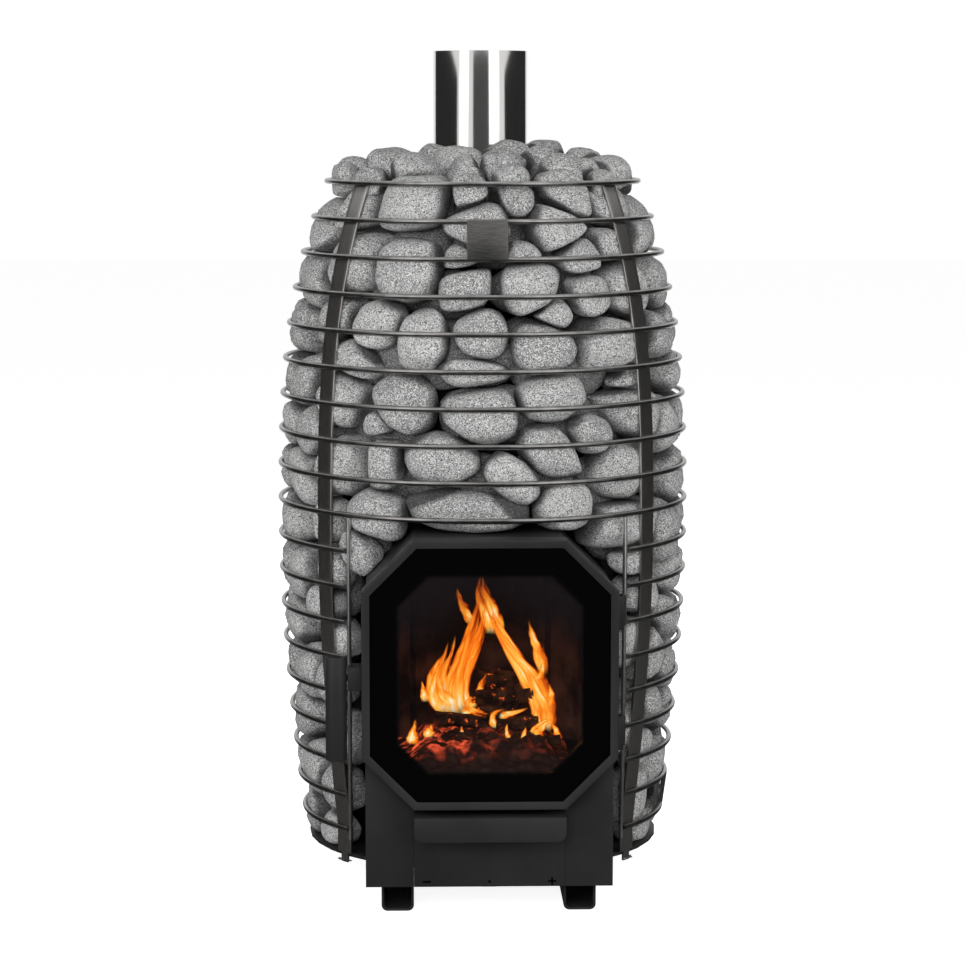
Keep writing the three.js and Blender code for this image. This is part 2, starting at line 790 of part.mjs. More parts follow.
// Door glass, its retaining ring and the rope seal behind it
const glassBack = glassFront + seat + glassThickness;
const pane = slab(octagon(doorWall + glassClearance), glassFront + seat, glassBack);
addPiece("door_glass", pane, glass);
const retainerFront = glassBack + seat;
const sealBack = -panelFace - seat;
const sealFront = sealBack - sealDepth;
const retainerBack = sealFront - seat;
const retainerOuter = doorWall + seat;
const retainerInner = retainerOuter + retainerWidth;
const retainer = octagonRing([
  [retainerOuter, retainerFront],
  [retainerOuter, retainerBack],
  [retainerInner, retainerBack],
  [retainerInner, retainerBack - retainerWall],
  [retainerOuter + retainerWall, retainerBack - retainerWall],
  [retainerOuter + retainerWall, retainerFront],
]);
addPiece("glass_retainer", retainer, blackSteel);
const seal = octagonRing([
  [retainerOuter, sealFront],
  [retainerOuter, sealBack],
  [retainerInner, sealBack],
  [retainerInner, sealFront],
]);
addPiece("door_seal", seal, rope);

// Handle: a half-round grip that hangs from its spindle, with the latch tongue on the same spindle
function crosswise(radius, from, to, y, z) {
  return disc(radius, from, to, pinSides).rotate([0, 90, 0]).translate([0, y, z]);
}

const forkInner = halfDoor + seat;
const slitOuter = forkOuter - forkLug;
const slitInner = slitOuter - forkSlit;
const spindleInner = slitInner - forkLug + spindleEnd;
const gripDepth = pivotDepth + gripSetback;
const gripBottom = pivotHeight - handleDrop;
const gripTop = pivotHeight + handleRise;
const lugHalf = 2 * spindleRadius;
const grip = new THREE.Shape();
grip.absarc(0, 0, handleRadius, Math.PI, 2 * Math.PI);
grip.absarc(0, 0, handleRadius - handleWall, 2 * Math.PI, Math.PI, true);
const gripShell = column(grip, gripBottom, gripTop).translate([-handleOffset, -gripDepth, 0]);
const gripLug = block(
  -handleOffset - handleRadius / 2,
  -handleOffset + handleRadius / 2,
  -gripDepth - spindleRadius,
  -pivotDepth + spindleRadius,
  pivotHeight - lugHalf,
  pivotHeight + lugHalf,
);
const gripFilling = upright(
  handleRadius - handleWall / 2,
  -handleOffset,
  -gripDepth,
  pivotHeight - lugHalf,
  pivotHeight + lugHalf,
  gripSides,
);
const gripCore = gripFilling.intersect(block(-far, far, -far, -gripDepth, -far, far));
const spindle = crosswise(spindleRadius, -handleOffset, -spindleInner, -pivotDepth, pivotHeight);
const keeperFront = panelFace - keeperSetback;
const tongueBack = keeperFront - tongueLap;
const tongue = block(
  -slitOuter + 2 * seat,
  -slitInner - 2 * seat,
  -pivotDepth,
  -tongueBack,
  pivotHeight - tongueHeight / 2,
  pivotHeight + tongueHeight / 2,
);
addPiece("handle", gripShell.add(gripCore).add(gripLug).add(spindle).add(tongue), blackSteel);

// Fork on the door's edge that carries the spindle
const forkTop = pivotHeight + forkHeight / 2;
const forkBottom = pivotHeight - forkHeight / 2;
const forkFront = pivotDepth + spindleRadius + forkFrontWall;
const forkBack = pivotDepth - spindleRadius - forkBackWall;
const holeEnd = -spindleInner + 2 * seat;
const fork = block(-forkOuter, -forkInner, -forkFront, -forkBack, forkBottom, forkTop)
  .subtract(block(-slitOuter, -slitInner, -forkFront + forkLug, far, 0, far))
  .subtract(crosswise(spindleRadius + seat, -far, holeEnd, -pivotDepth, pivotHeight));
addPiece("handle_fork", fork, blackSteel);

// Keeper bar on the collar, above the tongue
const keeperBottom = pivotHeight + tongueHeight / 2 + keeperClearance;
const keeper = block(
  -slitOuter,
  -halfCollar - seat,
  -keeperFront,
  -keeperFront + keeperDepth,
  keeperBottom,
  keeperBottom + keeperHeight,
);
addPiece("latch_keeper", keeper, blackSteel);

// Stones. Each bed is cut into cells, one to a stone, and every cell swells into a rounded lump
// on both faces. Stones of one course join at a neck where they press on each other.
const circuit = 360 * arcPerDegree;
const cellReach = 1.5 * stonePitch;
const courseBias = courseGap * stoneRowPitch;

function snapped(value) {
  return Math.round(value / grain) * grain;
}

// Keeps the part of a polygon where across * u + up * v is at most a limit.
function clipped(polygon, across, up, limit) {
  const kept = [];
  polygon.forEach((point, index) => {
    const next = polygon[(index + 1) % polygon.length];
    const here = point[0] * across + point[1] * up - limit;
    const there = next[0] * across + next[1] * up - limit;
    if (here <= 0) kept.push(point);
    if (here * there < 0) {
      const share = here / (here - there);
      kept.push([0, 1].map((axis) => point[axis] + share * (next[axis] - point[axis])));
    }
  });
  return kept;
}

// The cell of one seed: nearer to it than to any other, with a gap towards other courses.
function stoneCell(seed, others, limits) {
  let cell = [[-1, -1], [1, -1], [1, 1], [-1, 1]]
    .map(([u, v]) => [seed.u + u * cellReach, seed.v + v * cellReach]);
  for (const [across, up, limit] of limits) cell = clipped(cell, across, up, limit);
  for (const other of others) {
    const du = other.u - seed.u;
    const dv = other.v - seed.v;
    const gap = other.course === seed.course ? 0 : courseBias;
    const square = other.u ** 2 + other.v ** 2 - seed.u ** 2 - seed.v ** 2;
    cell = clipped(cell, du, dv, (square - gap) / 2);
  }
  const rounded = cell.map(([u, v]) => [snapped(u), snapped(v)]);
  return rounded.filter(([u, v], index) => {
    const [nextU, nextV] = rounded[(index + 1) % rounded.length];
    return u !== nextU || v !== nextV;
  });
}

// Joins cells into one closed bed. place(u, v, level) gives the point at a level from 0, the
// hidden face, to 1, the face that shows.
function stoneBed(cells, place, lowNeck, highNeck) {
  const positions = [];
  const triangle = (...points) => {
    for (const point of points) positions.push(point.x, point.y, point.z);
  };
  const key = (a, b) => a.join() + ">" + b.join();
  const edges = new Set();
  const home = ([u, v]) => [((u % circuit) + circuit) % circuit, v];
  for (const cell of cells) {
    cell.forEach((point, index) => {
      edges.add(key(home(point), home(cell[(index + 1) % cell.length])));
    });
  }
  for (const cell of cells) {
    const mean = (axis) => cell.reduce((sum, point) => sum + point[axis], 0) / cell.length;
    const middle = [mean(0), mean(1)];
    const inside = cell.map((point) => point.map((value, axis) => {
      return middle[axis] + shoulder * (value - middle[axis]);
    }));
    const crown = place(...middle, 1);
    const belly = place(...middle, 0);
    cell.forEach((point, index) => {
      const after = (index + 1) % cell.length;
      const next = cell[after];
      const high = [place(...point, highNeck), place(...next, highNeck)];
      const low = [place(...point, lowNeck), place(...next, lowNeck)];
      const ring = [index, after].map((corner) => place(...inside[corner], shoulderLevel));
      triangle(high[0], high[1], ring[1]);
      triangle(high[0], ring[1], ring[0]);
      triangle(ring[0], ring[1], crown);
      triangle(low[1], low[0], belly);
      if (!edges.has(key(home(next), home(point)))) {
        triangle(high[0], low[0], low[1]);
        triangle(high[0], low[1], high[1]);
      }
    });
  }
  const geometry = new THREE.BufferGeometry();
  geometry.setAttribute("position", new THREE.Float32BufferAttribute(positions, 3));
  return toSolid(geometry);
}

// Seeds round the cage: those at the front by hand, the others in staggered rows set off by chance
// numbers that repeat.
const chanceStep = 16807;
const chanceRange = 2147483647;
let chance = 7;

function nextChance() {
  chance = (chance * chanceStep) % chanceRange;
  return chance / chanceRange - 0.5;
}

const wallFloor = basePlateTop + seat;
const courseTops = courseDrops.map((drop) => topRingHeight - drop);
const wallTop = courseTops[courseTops.length - 1];
const seeds = frontStones.map(([azimuth, drop]) => ({
  u: azimuth * arcPerDegree,
  v: topRingHeight - drop,
}));
const rowSpan = circuit - 2 * backStoneStart * arcPerDegree;
const stonesInRow = Math.round(rowSpan / stonePitch);
const rowCount = Math.round((wallTop - wallFloor) / stoneRowPitch);
for (let row = 0; row < rowCount; row++) {
  for (let stone = 0; stone <= stonesInRow; stone++) {
    const along = (stone + (row % 2) / 2 - 0.25) * (rowSpan / stonesInRow);
    const up = (row + 0.5) * ((wallTop - wallFloor) / rowCount);
    seeds.push({
      u: backStoneStart * arcPerDegree + along + 2 * stoneJitter * nextChance(),
      v: wallFloor + up + 2 * stoneJitter * nextChance(),
    });
  }
}
for (const seed of seeds) {
  seed.course = courseTops.findIndex((top) => seed.v < top || top === wallTop);
}

function nearSeeds(seed) {
  const near = [];
  for (const other of seeds) {
    for (const turn of [-1, 0, 1]) {
      const copy = { u: other.u + turn * circuit, v: other.v, course: other.course };
      const distance = Math.hypot(copy.u - seed.u, copy.v - seed.v);
      if (distance > 0 && distance < 2 * cellReach) near.push(copy);
    }
  }
  return near;
}

function wallPoint(u, v, level) {
  const inner = fireboxRadius + 2 * seat;
  const outer = barOuterRadius(v) - barThickness - 2 * seat;
  return cagePoint(u / arcPerDegree, v, inner + level * (outer - inner));
}

const frontSpace = slab(octagon(collarInset - 2 * seat), -far, 0)
  .add(block(-halfPanel - seat, halfPanel + seat, -far, 0, 0, panelTop + seat));
const wallLimits = [[0, -1, -wallFloor], [0, 1, wallTop]];
courseTops.forEach((top, course) => {
  const cells = seeds
    .filter((seed) => seed.course === course)
    .map((seed) => stoneCell(seed, nearSeeds(seed), wallLimits))
    .filter((cell) => cell.length > 2);
  const bed = stoneBed(cells, wallPoint, neckLow, neckHigh);
  const name = "stones_course_" + (course + 1);
  addPiece(name, bed.subtract(frontSpace), granite, seat);
});

// Stones heaped on top, with the core of the heap reaching down to the firebox lid
const crownBottom = wallTop + courseGap;
const crownLimits = [];
for (let side = 0; side < crownSides; side++) {
  const turn = (2 * Math.PI * side) / crownSides;
  crownLimits.push([Math.cos(turn), Math.sin(turn), crownRadius * Math.cos(Math.PI / crownSides)]);
}
const crownSeeds = crownStones.map(([right, back]) => ({ u: right, v: back, course: 0 }));

function crownPoint(u, v, level) {
  const top = topRingHeight + crownRise - crownDrop * ((u ** 2 + v ** 2) / crownRadius ** 2);
  return new THREE.Vector3(u, v, crownBottom + level * (top - crownBottom));
}

const crownCells = crownSeeds.map((seed) => {
  const others = crownSeeds.filter((other) => other !== seed);
  return stoneCell(seed, others, crownLimits);
});
const flueSpace = disc(flueRadius + 2 * seat, -far, far, flueSides).translate(toFlue);
const spigotSpace = lidTop + 2 * seat;
const heap = stoneBed(crownCells, crownPoint, 0, crownNeck)
  .add(disc(coreRadius, spigotSpace, crownBottom + coreLap, fireboxSides))
  .subtract(flueSpace);
addPiece("stones_crown", heap, granite, seat);

export default stove;
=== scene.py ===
import math

import bpy
import numpy as np
from mathutils import Matrix, Vector, noise


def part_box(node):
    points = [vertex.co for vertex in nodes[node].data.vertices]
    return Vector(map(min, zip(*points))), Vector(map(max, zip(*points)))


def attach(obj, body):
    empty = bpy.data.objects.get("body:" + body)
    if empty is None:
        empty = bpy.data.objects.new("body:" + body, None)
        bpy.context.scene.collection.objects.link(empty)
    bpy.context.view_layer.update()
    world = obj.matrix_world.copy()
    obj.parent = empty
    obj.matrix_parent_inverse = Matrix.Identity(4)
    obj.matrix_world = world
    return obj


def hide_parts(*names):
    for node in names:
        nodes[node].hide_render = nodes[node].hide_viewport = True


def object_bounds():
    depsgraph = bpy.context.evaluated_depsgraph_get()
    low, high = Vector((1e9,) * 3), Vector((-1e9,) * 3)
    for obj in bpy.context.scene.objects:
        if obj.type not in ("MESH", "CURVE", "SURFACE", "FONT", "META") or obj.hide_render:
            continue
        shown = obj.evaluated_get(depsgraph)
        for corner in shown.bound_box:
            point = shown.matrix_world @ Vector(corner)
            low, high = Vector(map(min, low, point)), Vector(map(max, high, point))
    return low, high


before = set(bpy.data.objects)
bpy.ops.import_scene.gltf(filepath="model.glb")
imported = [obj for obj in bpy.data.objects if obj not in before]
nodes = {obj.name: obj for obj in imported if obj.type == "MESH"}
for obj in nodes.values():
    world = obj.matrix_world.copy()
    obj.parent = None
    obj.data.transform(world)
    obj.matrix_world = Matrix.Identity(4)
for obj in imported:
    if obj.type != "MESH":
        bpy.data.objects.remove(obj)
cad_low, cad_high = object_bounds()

scene = bpy.context.scene

# Camera: a long lens about three and a half metres away, a little above the stove's middle and
# a touch to its left, as in a catalogue picture. It looks slightly down at the cage's axis.
ring_low, ring_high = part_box("cage_ring_01")
axis = (ring_low + ring_high) / 2
axis_y = axis.y
camera_distance = 3.614
camera_turn = math.radians(1.6)
camera_drop = math.radians(7.013)
camera_height = 0.906
bpy.ops.object.camera_add(
    location=(
        -camera_distance * math.sin(camera_turn),
        axis_y - camera_distance * math.cos(camera_turn),
        camera_height,
    ),
    rotation=(math.pi / 2 - camera_drop, 0, -camera_turn),
)
camera = bpy.context.object
camera.data.lens = 112.3
camera.data.sensor_width = 36
scene.camera = camera


# Black heat-proof paint on the welded steel: feet, base plate, lid, collar, front panel, door,
# handle and drawer. It is matt, slightly pebbled, and worn a little paler in patches.
class Wire:
    """An output socket of a material. Arithmetic on it adds Math nodes."""

    def __init__(self, tree, socket=None):
        self.tree = tree
        self.socket = socket

    def make(self, kind, settings, inputs, output=0):
        made = self.tree.nodes.new("ShaderNode" + kind)
        for name, value in settings.items():
            if name == "stops":
                stops = made.color_ramp.elements
                while len(stops) < len(value):
                    stops.new(1)
                for stop, (place, colour) in zip(stops, value):
                    stop.position = place
                    stop.color = (*colour, 1)
            else:
                setattr(made, name, value)
        for key, value in inputs.items():
            if isinstance(value, Wire):
                self.tree.links.new(value.socket, made.inputs[key])
            else:
                made.inputs[key].default_value = value
        return Wire(self.tree, made.outputs[output] if made.outputs else None)

    def math(self, operation, *values):
        return self.make("Math", {"operation": operation}, dict(enumerate(values)))

    def __add__(self, other):
        return self.math("ADD", self, other)

    def __sub__(self, other):
        return self.math("SUBTRACT", self, other)

    def __rsub__(self, other):
        return self.math("SUBTRACT", other, self)

    def __mul__(self, other):
        return self.math("MULTIPLY", self, other)

    def __pow__(self, other):
        return self.math("POWER", self, other)

    __radd__ = __add__
    __rmul__ = __mul__

    def step(self, low, high):
        ends = {"From Min": low, "From Max": high}
        return self.make("MapRange", {"interpolation_type": "SMOOTHSTEP"}, {"Value": self, **ends})

    def part(self, way):
        return self.make("SeparateXYZ", {}, {"Vector": self}, output=way)

    def mixed(self, below, above):
        return self.make("Mix", {"data_type": "RGBA"}, {0: self, 6: below, 7: above}, output=2)


def rgb(*shade):
    return (*shade, 1)


def new_material(name):
    material = bpy.data.materials.new(name)
    material.use_nodes = True
    material.node_tree.nodes.clear()
    tree = Wire(material.node_tree)
    place = tree.make("TexCoord", {}, {}, output="Object")
    return material, tree, place


def close_material(tree, shader):
    tree.make("OutputMaterial", {}, {"Surface": shader})


def surfaced(material, tree, inputs):
    close_material(tree, tree.make("BsdfPrincipled", {}, inputs))
    return material


def grain(tree, place, scale, detail=2.0, roughness=0.5):
    sizes = {"Scale": scale, "Detail": detail, "Roughness": roughness}
    return tree.make("TexNoise", {}, {"Vector": place, **sizes})


def bumped(tree, height, strength, distance):
    return tree.make("Bump", {}, {"Height": height, "Strength": strength, "Distance": distance})


def black_paint(name, shade, gloss):
    material, tree, place = new_material(name)
    patches = grain(tree, place, 9.0, 4.0)
    pebble = grain(tree, place, 900.0, 2.0)
    colour = patches.step(0.3, 0.75).mixed(rgb(*shade), rgb(*(1.5 * value for value in shade)))
    return surfaced(material, tree, {
        "Base Color": colour,
        "Roughness": gloss + 0.12 * patches,
        "Specular IOR Level": 0.2,
        "Normal": bumped(tree, pebble, 0.12, 0.0004),
    })


def coat(material, *names):
    for name in names:
        slots = nodes[name].data.materials
        slots.clear()
        slots.append(material)


painted = black_paint("black_heatproof_paint", (0.015, 0.015, 0.0155), 0.42)
coat(painted, "hinge_pin_lower", "hinge_pin_upper", "latch_keeper", "glass_retainer", "firebox_lid")
coat(painted, "ash_box", "ash_tray", "air_slide")

# Firebox, baffle, grate and bricks: plate, castings and refractory brick, all coated in soot by
# the fire. The bricks burn clean near the embers and show brown there.
sooty = black_paint("sooted_steel", (0.006, 0.006, 0.006), 0.7)
coat(sooty, "firebox_shell", "smoke_baffle", "fire_grate")


def sooted_brick():
    material, tree, place = new_material("sooted_firebrick")
    height = place.part("Z")
    burnt_clean = 1 - height.step(0.13, 0.36)
    soot_and_shade = grain(tree, place, 18.0, 5.0).step(0.35, 0.7) * burnt_clean
    grit = grain(tree, place, 420.0, 3.0)
    colour = soot_and_shade.mixed(rgb(0.008, 0.008, 0.009), rgb(0.21, 0.115, 0.09))
    return surfaced(material, tree, {
        "Base Color": colour,
        "Roughness": 0.95,
        "Normal": bumped(tree, grit, 0.5, 0.001),
    })


coat(sooted_brick(), "firebrick_left", "firebrick_back", "firebrick_right")


# Rope seal: braided glass fibre, greyed by smoke. It lies round the back of the door frame and is
# pressed against the collar when the door is shut.
def rope_fibre():
    material, tree, place = new_material("rope_seal_fibre")
    braid = tree.make("TexWave", {"bands_direction": "DIAGONAL"}, {"Vector": place, "Scale": 260.0})
    colour = braid.mixed(rgb(0.02, 0.02, 0.019), rgb(0.07, 0.068, 0.062))
    return surfaced(material, tree, {
        "Base Color": colour,
        "Roughness": 0.95,
        "Normal": bumped(tree, braid, 0.6, 0.001),
    })


coat(rope_fibre(), "door_seal")


# Door glass: ceramic glass with a wide black border baked on behind it. The clear window is an
# octagon whose edge breaks into a fine comb of ticks, and it carries a faint purplish-grey veil,
# a painted reflection.
glass_low, glass_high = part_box("door_glass")
window_middle = (glass_low + glass_high) / 2
window_half_width = 0.1045
window_half_height = 0.113
window_chamfer = 0.035


def bordered_glass():
    material, tree, place = new_material("bordered_door_glass")
    shift = {"Location": tuple(-value for value in window_middle)}
    centred = tree.make("Mapping", {}, {"Vector": place, **shift})
    x = centred.part("X")
    z = centred.part("Z")
    across = x.math("ABSOLUTE", x)
    up = z.math("ABSOLUTE", z)
    corner_reach = window_half_width + window_half_height - window_chamfer
    beyond_side = across - window_half_width
    beyond_top = up - window_half_height
    beyond_corner = (across + up - corner_reach) * math.sqrt(0.5)
    beyond = x.math("MAXIMUM", x.math("MAXIMUM", beyond_side, beyond_top), beyond_corner)
    ticks = x.math("SINE", x * 2900.0) * x.math("SINE", z * 2900.0)
    border = (beyond + 0.0022 * ticks).step(-0.0045, 0.0008)
    smudge = grain(tree, place, 14.0, 4.0).step(0.45, 0.8)
    smoked = (beyond_corner + 0.6 * z).step(-0.05, 0.07)
    # Painted reflection: the clear window's base opacity of a tenth, in purplish grey; the smudges and
    # smoke on top are real.
    clear = 0.10 + 0.05 * smudge + 0.50 * smoked
    frit_and_reflection_tint = border.mixed(rgb(0.010, 0.008, 0.0095), rgb(0.0012, 0.0012, 0.0013))
    return surfaced(material, tree, {
        "Base Color": frit_and_reflection_tint,
        "Roughness": 0.06 + 0.05 * smudge,
        "Specular IOR Level": 0.05,
        "Alpha": border + (1 - border) * clear,
    })


coat(bordered_glass(), "door_glass")


# Sheet and plate pieces in black: feet, base plate, collar, front panel, door frame, fork, handle
# and drawer front. They are cut and folded, and the paint rounds their edges over.
def pick(*pieces):
    bpy.ops.object.select_all(action="DESELECT")
    for piece in pieces:
        piece.select_set(True)
    bpy.context.view_layer.objects.active = pieces[0]


def edit_all():
    bpy.ops.object.mode_set(mode="EDIT")
    bpy.ops.mesh.select_all(action="SELECT")


def modified(piece, kind, **settings):
    pick(piece)
    modifier = piece.modifiers.new(kind, kind)
    for name, value in settings.items():
        setattr(modifier, name, value)
    bpy.ops.object.modifier_apply(modifier=kind)


smooth_limit = math.radians(40)
fold_limit = math.radians(32)
flat_limit = math.radians(1)


def finish_piece(piece, name, material, body, slot, *replaced):
    piece.name = name
    piece.data.name = name
    piece.data.materials.clear()
    piece.data.materials.append(material)
    pick(piece)
    bpy.ops.object.shade_smooth_by_angle(angle=smooth_limit)
    bpy.ops.object.transform_apply(location=True, rotation=True, scale=True)
    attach(piece, body)
    if replaced:
        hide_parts(*replaced)
    return piece


def eased(node, name, body, edge):
    piece = bpy.data.objects.new(name, nodes[node].data.copy())
    scene.collection.objects.link(piece)
    pick(piece)
    edit_all()
    bpy.ops.mesh.remove_doubles(threshold=0.00002)
    bpy.ops.mesh.dissolve_limited(angle_limit=flat_limit)
    bpy.ops.object.mode_set(mode="OBJECT")
    modified(piece, "BEVEL", width=edge, segments=2, limit_method="ANGLE", angle_limit=fold_limit)
    return finish_piece(piece, name, painted, body, "black_steel", node)


for node, name, body, edge in [
    ("foot_left", "channel_foot_left", "stove", 0.0008),
    ("foot_right", "channel_foot_right", "stove", 0.0008),
    ("base_plate", "round_base_plate", "stove", 0.0005),
    ("front_collar", "octagon_collar", "stove", 0.0006),
    ("front_panel", "folded_panel", "stove", 0.0006),
    ("door_frame", "octagon_door_frame", "door", 0.0009),
    ("handle_fork", "spindle_fork", "door", 0.0005),
    ("handle", "hanging_handle", "handle", 0.0008),
]:
    eased(node, name, body, edge)
drawer_face = eased("drawer_front", "lipped_drawer_front", "ash_drawer", 0.0006)
drawer_fit = 1.0112
drawer_face.data.transform(Matrix.Diagonal((drawer_fit, 1, 1, 1)))


# Cage rings: stainless rod bent into hoops and welded to the bars. The lower hoops stop at the
# doorway, and the lowest also leaves the service gap, where its short length turns up.
def steel_rod_finish():
    material, tree, place = new_material("stainless_rod")
    mill = grain(tree, place, 60.0, 4.0)
    scratch = grain(tree, place, 1400.0, 1.0)
    colour = mill.step(0.3, 0.7).mixed(rgb(0.19, 0.185, 0.18), rgb(0.29, 0.282, 0.275))
    return surfaced(material, tree, {
        "Base Color": colour,
        "Metallic": 1.0,
        "Roughness": 0.24 + 0.12 * mill,
        "Normal": bumped(tree, scratch, 0.08, 0.0003),
    })


rod_steel = steel_rod_finish()
ring_rod = 0.006
rod_flat = ring_rod / 2 * math.cos(math.pi / 5)
ring_names = ["cage_ring_%02d" % count for count in range(1, 20)]
ring_radii = [-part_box(name)[0].x - rod_flat for name in ring_names]
ring_heights = [(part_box(name)[0].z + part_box(name)[1].z) / 2 for name in ring_names[:-1]]
ring_heights.append(2 * ring_heights[-1] - ring_heights[-2])
last_full_ring = 10
rod_low, rod_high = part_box("doorway_rod_right")
clearance = 0.0003
doorway_half = rod_high.x + clearance
gap_front = math.radians(85)
gap_rear = math.radians(125)


def outwards(azimuth):
    return Vector((math.sin(azimuth), -math.cos(azimuth), 0))


def on_cage(radius, azimuth, height=0):
    return Vector((0, axis_y, height)) + radius * outwards(azimuth)


def added(primitive, **sizes):
    bpy.ops.object.select_all(action="DESELECT")
    primitive(**sizes)
    return bpy.context.object


def cut_hoop(point, normal):
    edit_all()
    bpy.ops.mesh.bisect(plane_co=point, plane_no=normal, use_fill=True, clear_inner=True)
    bpy.ops.object.mode_set(mode="OBJECT")


def hoop_at(index):
    hoop = added(
        bpy.ops.mesh.primitive_torus_add,
        location=(0, axis_y, ring_heights[index]),
        major_radius=ring_radii[index],
        minor_radius=ring_rod / 2,
        major_segments=160,
        minor_segments=14,
    )
    bpy.ops.object.transform_apply(location=True, rotation=True, scale=True)
    return hoop


for index, name in enumerate(ring_names):
    hoop = hoop_at(index)
    radius = ring_radii[index]
    end_depth = math.sqrt(radius ** 2 - min(doorway_half, radius) ** 2)
    if index == len(ring_names) - 1:
        left_end = Vector((-doorway_half, axis_y - end_depth, 0))
        along = on_cage(radius, gap_rear) - left_end
        cut_hoop(left_end, (-along.y, along.x, 0))
    elif index >= last_full_ring:
        cut_hoop((0, axis_y - end_depth, 0), (0, 1, 0))
    finish_piece(hoop, "hoop_" + name[-2:], rod_steel, "stove", "stainless_steel", name)

short_hoop = hoop_at(len(ring_names) - 1)
door_end = math.asin(doorway_half / ring_radii[-1])
cut_hoop((0, axis_y, 0), (math.cos(door_end), math.sin(door_end), 0))
cut_hoop((0, axis_y, 0), (-math.cos(gap_front), -math.sin(gap_front), 0))
turn_up = on_cage(ring_radii[-1], gap_front, ring_heights[-1])
top_of_turn = on_cage(ring_radii[-2], gap_front, ring_heights[-2] - ring_rod / 2)
lean = top_of_turn - turn_up
upright = added(
    bpy.ops.mesh.primitive_cylinder_add,
    vertices=14,
    radius=ring_rod / 2,
    depth=lean.length,
    location=turn_up + lean / 2,
    rotation=lean.to_track_quat("Z", "Y").to_euler(),
)
pick(short_hoop, upright)
bpy.ops.object.join()
finish_piece(short_hoop, "hoop_19_short", rod_steel, "stove", "stainless_steel", "cage_ring_19_short")


# Upright bars: flat stainless strip bent to the barrel's outline and welded inside the rings, with
# a narrower tab at the foot that passes through the base plate. A short strap stands at the gap.
def brushed_flat(name, dark, light, stretch):
    material, tree, place = new_material(name)
    drawn = tree.make("Mapping", {}, {"Vector": place, "Scale": stretch})
    brush = grain(tree, drawn, 120.0, 3.0)
    colour = brush.step(0.3, 0.7).mixed(rgb(*dark), rgb(*light))
    return surfaced(material, tree, {
        "Base Color": colour,
        "Metallic": 1.0,
        "Roughness": 0.24 + 0.16 * brush,
    })


def cage_radius(height):
    return np.interp(height, ring_heights[::-1], ring_radii[::-1])


bar_steel = brushed_flat("stainless_flat_bar", (0.44, 0.425, 0.41), (0.56, 0.54, 0.52), (12, 12, 0.6))
bar_columns = (-0.0125, -0.006, 0.006, 0.0125)
bar_thickness = 0.003
bar_edge = 0.0005
bar_seat = ring_rod / 2 + clearance
bar_cells = len(bar_columns) - 1
bar_rows = 96
tab_drop = 0.007
plate_low, plate_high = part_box("base_plate")
bar_chord = math.radians(360 / 28)
bar_places = [
    ("front_right", 4 * bar_chord), ("rear_right", 10 * bar_chord),
    ("rear_left", -10 * bar_chord), ("front_left", -4 * bar_chord),
]
foot = plate_high.z + clearance
near = 0.001
for place, azimuth in bar_places:
    bar_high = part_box("cage_bar_" + place)[1]
    outward = outwards(azimuth)
    sideways = outwards(azimuth + math.pi / 2)
    cells = {"x_subdivisions": bar_cells, "y_subdivisions": bar_rows}
    bar = added(bpy.ops.mesh.primitive_grid_add, size=1, **cells)
    for vertex in bar.data.vertices:
        column = round((vertex.co.x + 0.5) * bar_cells)
        height = foot + (vertex.co.y + 0.5) * (bar_high.z - foot)
        radius = float(cage_radius(height)) - bar_seat
        vertex.co = on_cage(radius, azimuth, height) + bar_columns[column] * sideways
    bpy.ops.object.mode_set(mode="EDIT")
    bpy.ops.mesh.select_all(action="DESELECT")
    bpy.ops.mesh.select_mode(type="EDGE")
    bpy.ops.object.mode_set(mode="OBJECT")
    for edge in bar.data.edges:
        ends = [bar.data.vertices[index].co for index in edge.vertices]
        middle = (ends[0] + ends[1]) / 2 - Vector((0, axis_y, 0))
        at_foot = max(end.z for end in ends) < foot + near
        edge.select = at_foot and abs(middle.dot(sideways)) < near
    bpy.ops.object.mode_set(mode="EDIT")
    tab = {"value": (0, 0, plate_low.z - tab_drop - foot)}
    bpy.ops.mesh.extrude_region_move(TRANSFORM_OT_translate=tab)
    edit_all()
    bpy.ops.mesh.normals_make_consistent(inside=False)
    bpy.ops.object.mode_set(mode="OBJECT")
    inwards = -1 if bar.data.polygons[0].normal.dot(outward) > 0 else 1
    modified(bar, "SOLIDIFY", thickness=bar_thickness, offset=inwards)
    modified(bar, "BEVEL", width=bar_edge, segments=2)
    finish_piece(bar, "bar_" + place, bar_steel, "stove", "stainless_steel", "cage_bar_" + place)
coat(bar_steel, "cage_gap_strap")


# Split pins: bent spring wire through the tabs under the base plate, which keep the bars down. One
# leg runs through the tab and the other comes back round it.
def bent_wire(path, radius):
    line = bpy.data.curves.new("wire", "CURVE")
    line.dimensions = "3D"
    line.bevel_depth = radius
    line.bevel_resolution = 3
    line.use_fill_caps = True
    spline = line.splines.new("POLY")
    spline.points.add(len(path) - 1)
    for point, place in zip(spline.points, path):
        point.co = (*place, 1)
    wire = bpy.data.objects.new("wire", line)
    scene.collection.objects.link(wire)
    pick(wire)
    bpy.ops.object.convert(target="MESH")
    return bpy.context.object


pin_wire = 0.0009
pin_drop = 0.004
pin_bend = [(-11, 0), (-4, 0), (5, 0), (7.6, 0.8), (8.6, 2.4), (7.8, 4), (5, 4.6), (0, 3.6), (-6, 5)]
pin_radius = float(cage_radius(plate_high.z)) - bar_seat - bar_thickness / 2
for place, azimuth in bar_places:
    outward = outwards(azimuth)
    sideways = outwards(azimuth + math.pi / 2)
    centre = on_cage(pin_radius, azimuth, plate_low.z - pin_drop)
    path = [centre - along / 1000 * sideways + out / 1000 * outward for along, out in pin_bend]
    pin = bent_wire(path, pin_wire)
    finish_piece(pin, "split_pin_" + place, bar_steel, "stove", "stainless_steel")
